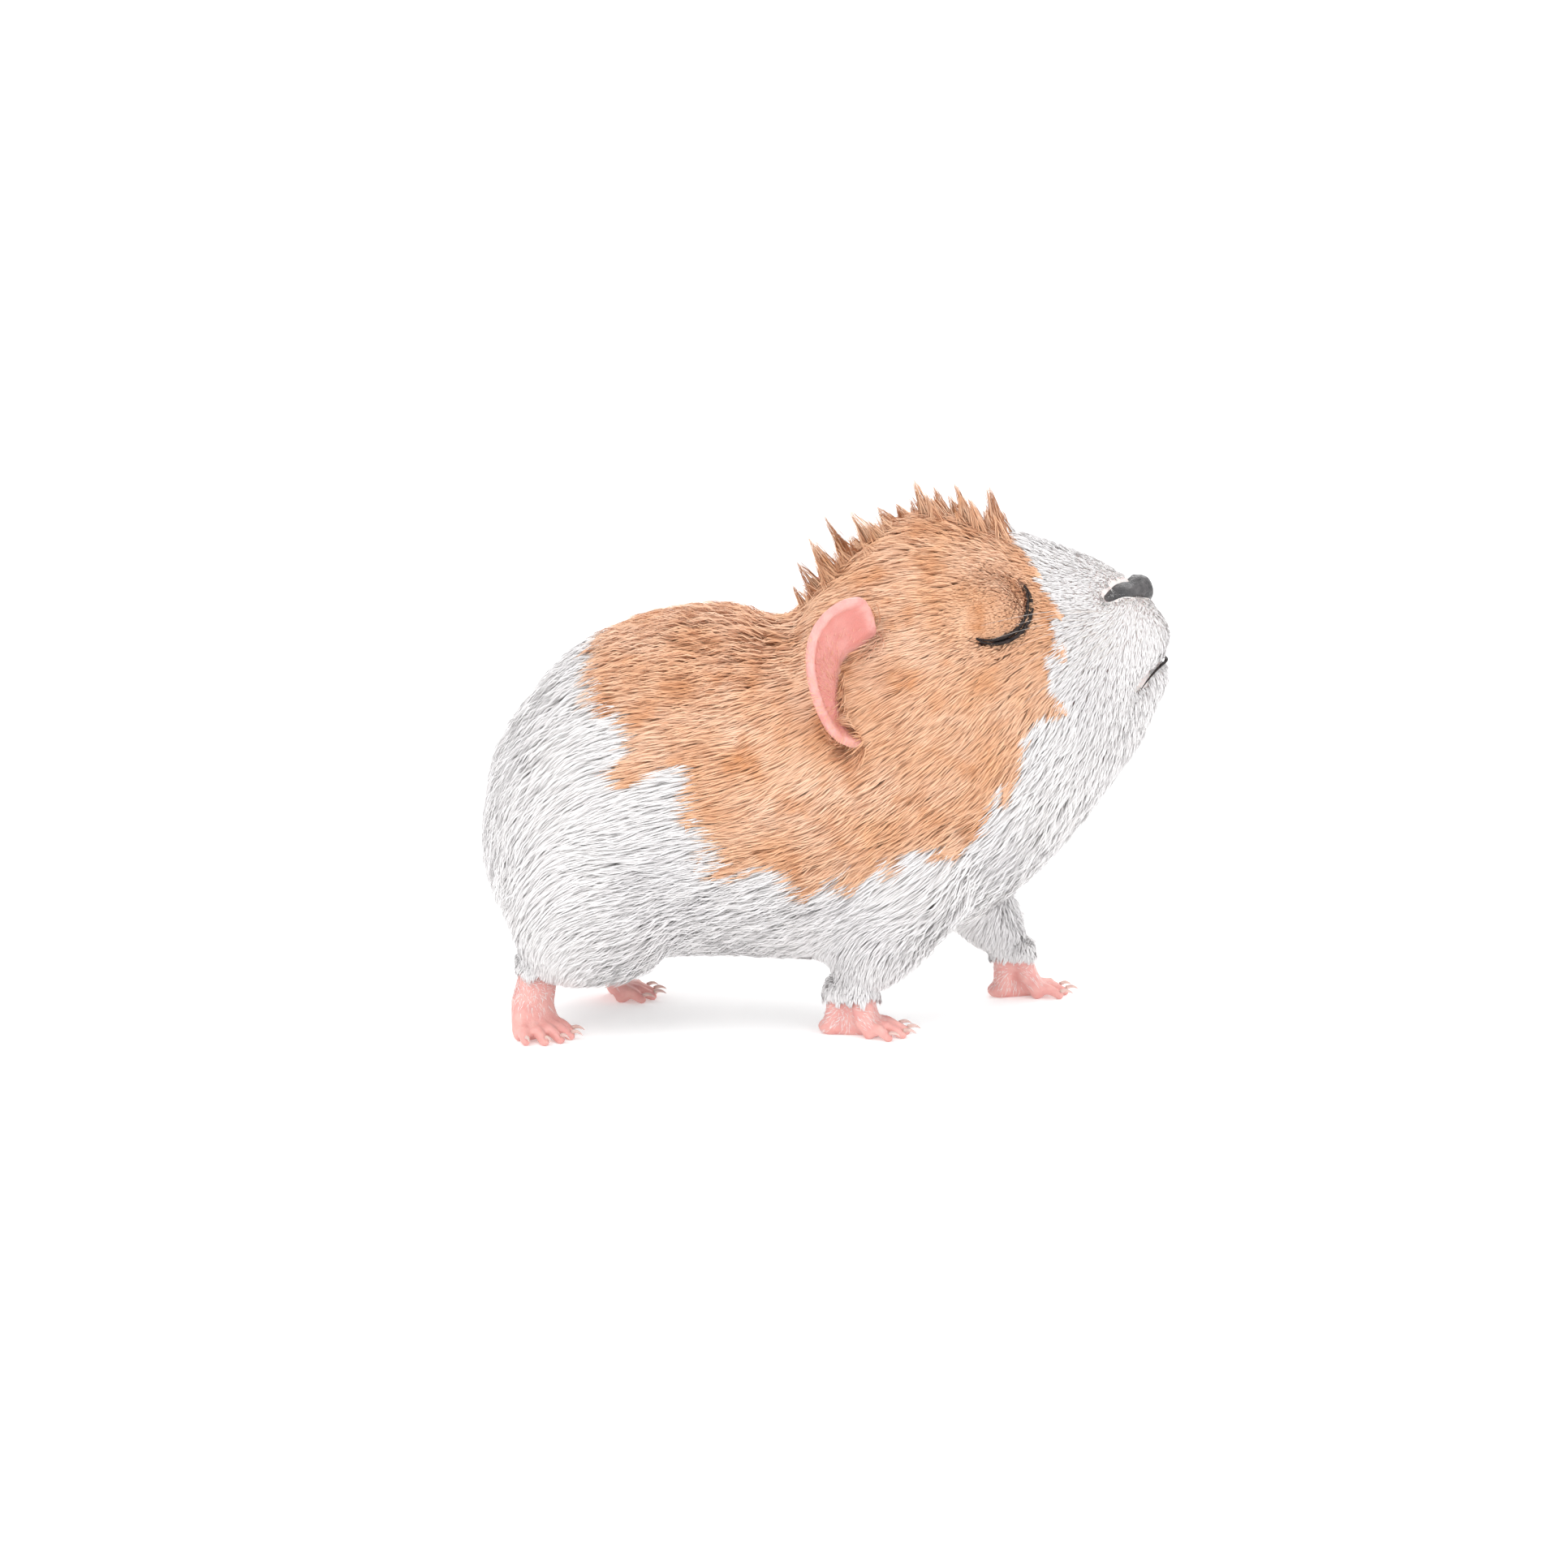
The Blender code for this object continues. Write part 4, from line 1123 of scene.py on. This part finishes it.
def build_nose():
    """The nose leather with its nostrils and the groove between them."""
    data = NOSE_FORM
    points, normals = points_of(data), normals_of(data)
    for side in (-1, 1):
        start = NOSE + np.array(NOSTRIL["start"]) * (1, side, 1)
        comma = np.linspace(start, start + np.array(NOSTRIL["run"]) * (1, side, 1), 9)
        points = grooved(points, normals, comma, NOSTRIL)
    groove = np.exp(-((points[:, 1] / GROOVE["width"]) ** 2))
    groove *= smoothstep(-1.5, 1.0, points[:, 0] - NOSE[0])
    points -= normals * (GROOVE["depth"] * groove)[:, None]
    made = piece("nose_pad", move_to(data, points), nose_finish())
    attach(made, "root")
    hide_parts("nose")


def build_claws():
    """A curved nail for each toe, rooted in its flesh."""
    parts, names = [], sorted(n for n in frame["nodes"] if "_claw_" in n)
    shares = np.linspace(0, 1, 9)
    arch = 0.30 * np.sin(math.pi * shares) - 0.30 * shares * shares
    for name in names:
        foot = "_".join(name.split("_")[:3]).replace("claw", "foot")
        points = node_points(name)
        reach = away(points, JOINTS[foot][0])
        root = points[reach <= np.sort(reach)[5]].mean(axis=0)
        tip = points[reach >= np.sort(reach)[-5]].mean(axis=0)
        ahead = unit((tip - root) * (1, 1, 0))
        start, length = root - ahead * 1.1 + (0, 0, 0.12), np.linalg.norm(tip - root) + 0.5
        path = [start + ahead * length * t + (0, 0, rise) for t, rise in zip(shares, arch)]
        parts.append(tube(path, 0.29 * (1 - shares**2.2) + 0.03, 10, 1.15))
    points, faces = several(parts)
    points[:, 2] = points[:, 2].clip(0.02)
    claws = piece("claws", closed("claws", points, faces), horn_finish())
    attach(claws, "root")
    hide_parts(*names)


def build_whiskers(tree):
    """Fine whiskers in rows on the whisker pads."""
    parts, draw = [], np.random.default_rng(SEED + 1)
    shares = np.linspace(0, 1, 9)
    for side, i in itertools.product((-1, 1), range(WHISKERS["per_side"])):
        row, column = i % 4, i // 4
        root = on_surface(tree, NOSE + (-4.5 - 1.7 * column + 0.5 * row, 7.0 * side, -3.6 - 1.5 * row))
        way = unit((-0.45 - 0.1 * column, 0.95 * side, 0.28 - 0.18 * row) + draw.normal(size=3) * 0.10)
        length = np.interp(column, (0, 3), WHISKERS["length"]) * draw.uniform(0.85, 1.1)
        bend = np.array((-0.30, 0, -0.22)) * length
        path = [root - way * 0.4 + way * length * t + bend * t * t for t in shares]
        parts.append(tube(path, WHISKERS["radius"] * (1 - 0.8 * shares), 5))
    whiskers = piece("whiskers", closed("whiskers", *several(parts)), whisker_finish())
    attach(whiskers, "root")


# ---- Stage, lights and camera ----
def build_stage():
    """A pale floor that curves up behind into a backdrop."""
    half, depth, rise, bend = 3.0, 2.2, 3.0, 1.2
    profile = [(-3.0, 0.0)]
    for turn in np.linspace(0, math.pi / 2, 13):
        profile.append((depth - bend + bend * math.sin(turn), bend - bend * math.cos(turn)))
    profile.append((depth, rise))
    points = [(x, y, z) for y, z in profile for x in (-half, half)]
    faces = [(2 * i, 2 * i + 1, 2 * i + 3, 2 * i + 2) for i in range(len(profile) - 1)]
    floor = piece("floor", mesh("floor", np.array(points) / MM, faces), floor_finish())


def aimed(name, data, place, target):
    """A light or the camera at a place, in metres, turned to face a target."""
    made = piece(name, data)
    made.location = place
    made.rotation_euler = (Vector(target) - Vector(place)).to_track_quat("-Z", "Y").to_euler()
    return made


def area_light(name, place, size, power):
    light = bpy.data.lights.new(name, "AREA")
    light.size, light.energy = size, power
    aimed(name, light, place, (0, 0, 0.045))


def build_camera():
    lens = bpy.data.cameras.new("camera")
    lens.lens, lens.sensor_width = CAMERA["lens"], 36
    turn, aim = math.radians(CAMERA["elevation"]), Vector(CAMERA["aim"])
    place = aim + Vector((0, -math.cos(turn), math.sin(turn))) * CAMERA["distance"]
    bpy.context.scene.camera = aimed("camera", lens, place, aim)


def build_lights():
    world = bpy.data.worlds.new("world")
    world.use_nodes = True
    world.node_tree.nodes["Background"].inputs["Color"].default_value = (1, 1, 1, 1)
    bpy.context.scene.world = world
    area_light("key", (-0.45, -0.75, 1.05), 0.9, 6.5)
    area_light("fill", (0.8, -0.7, 0.5), 1.0, 3)
    area_light("rim", (0.2, 0.9, 0.9), 0.8, 4)
    bpy.context.scene.view_settings.view_transform = "Standard"


# ---- Making it all ----
build_camera()
build_stage()
build_lights()
skin, outer = build_skin()
build_eyes(outer)
build_lips(outer)
build_nose()
build_claws()
build_whiskers(tree_of(skin.data))
build_coat(skin, outer)
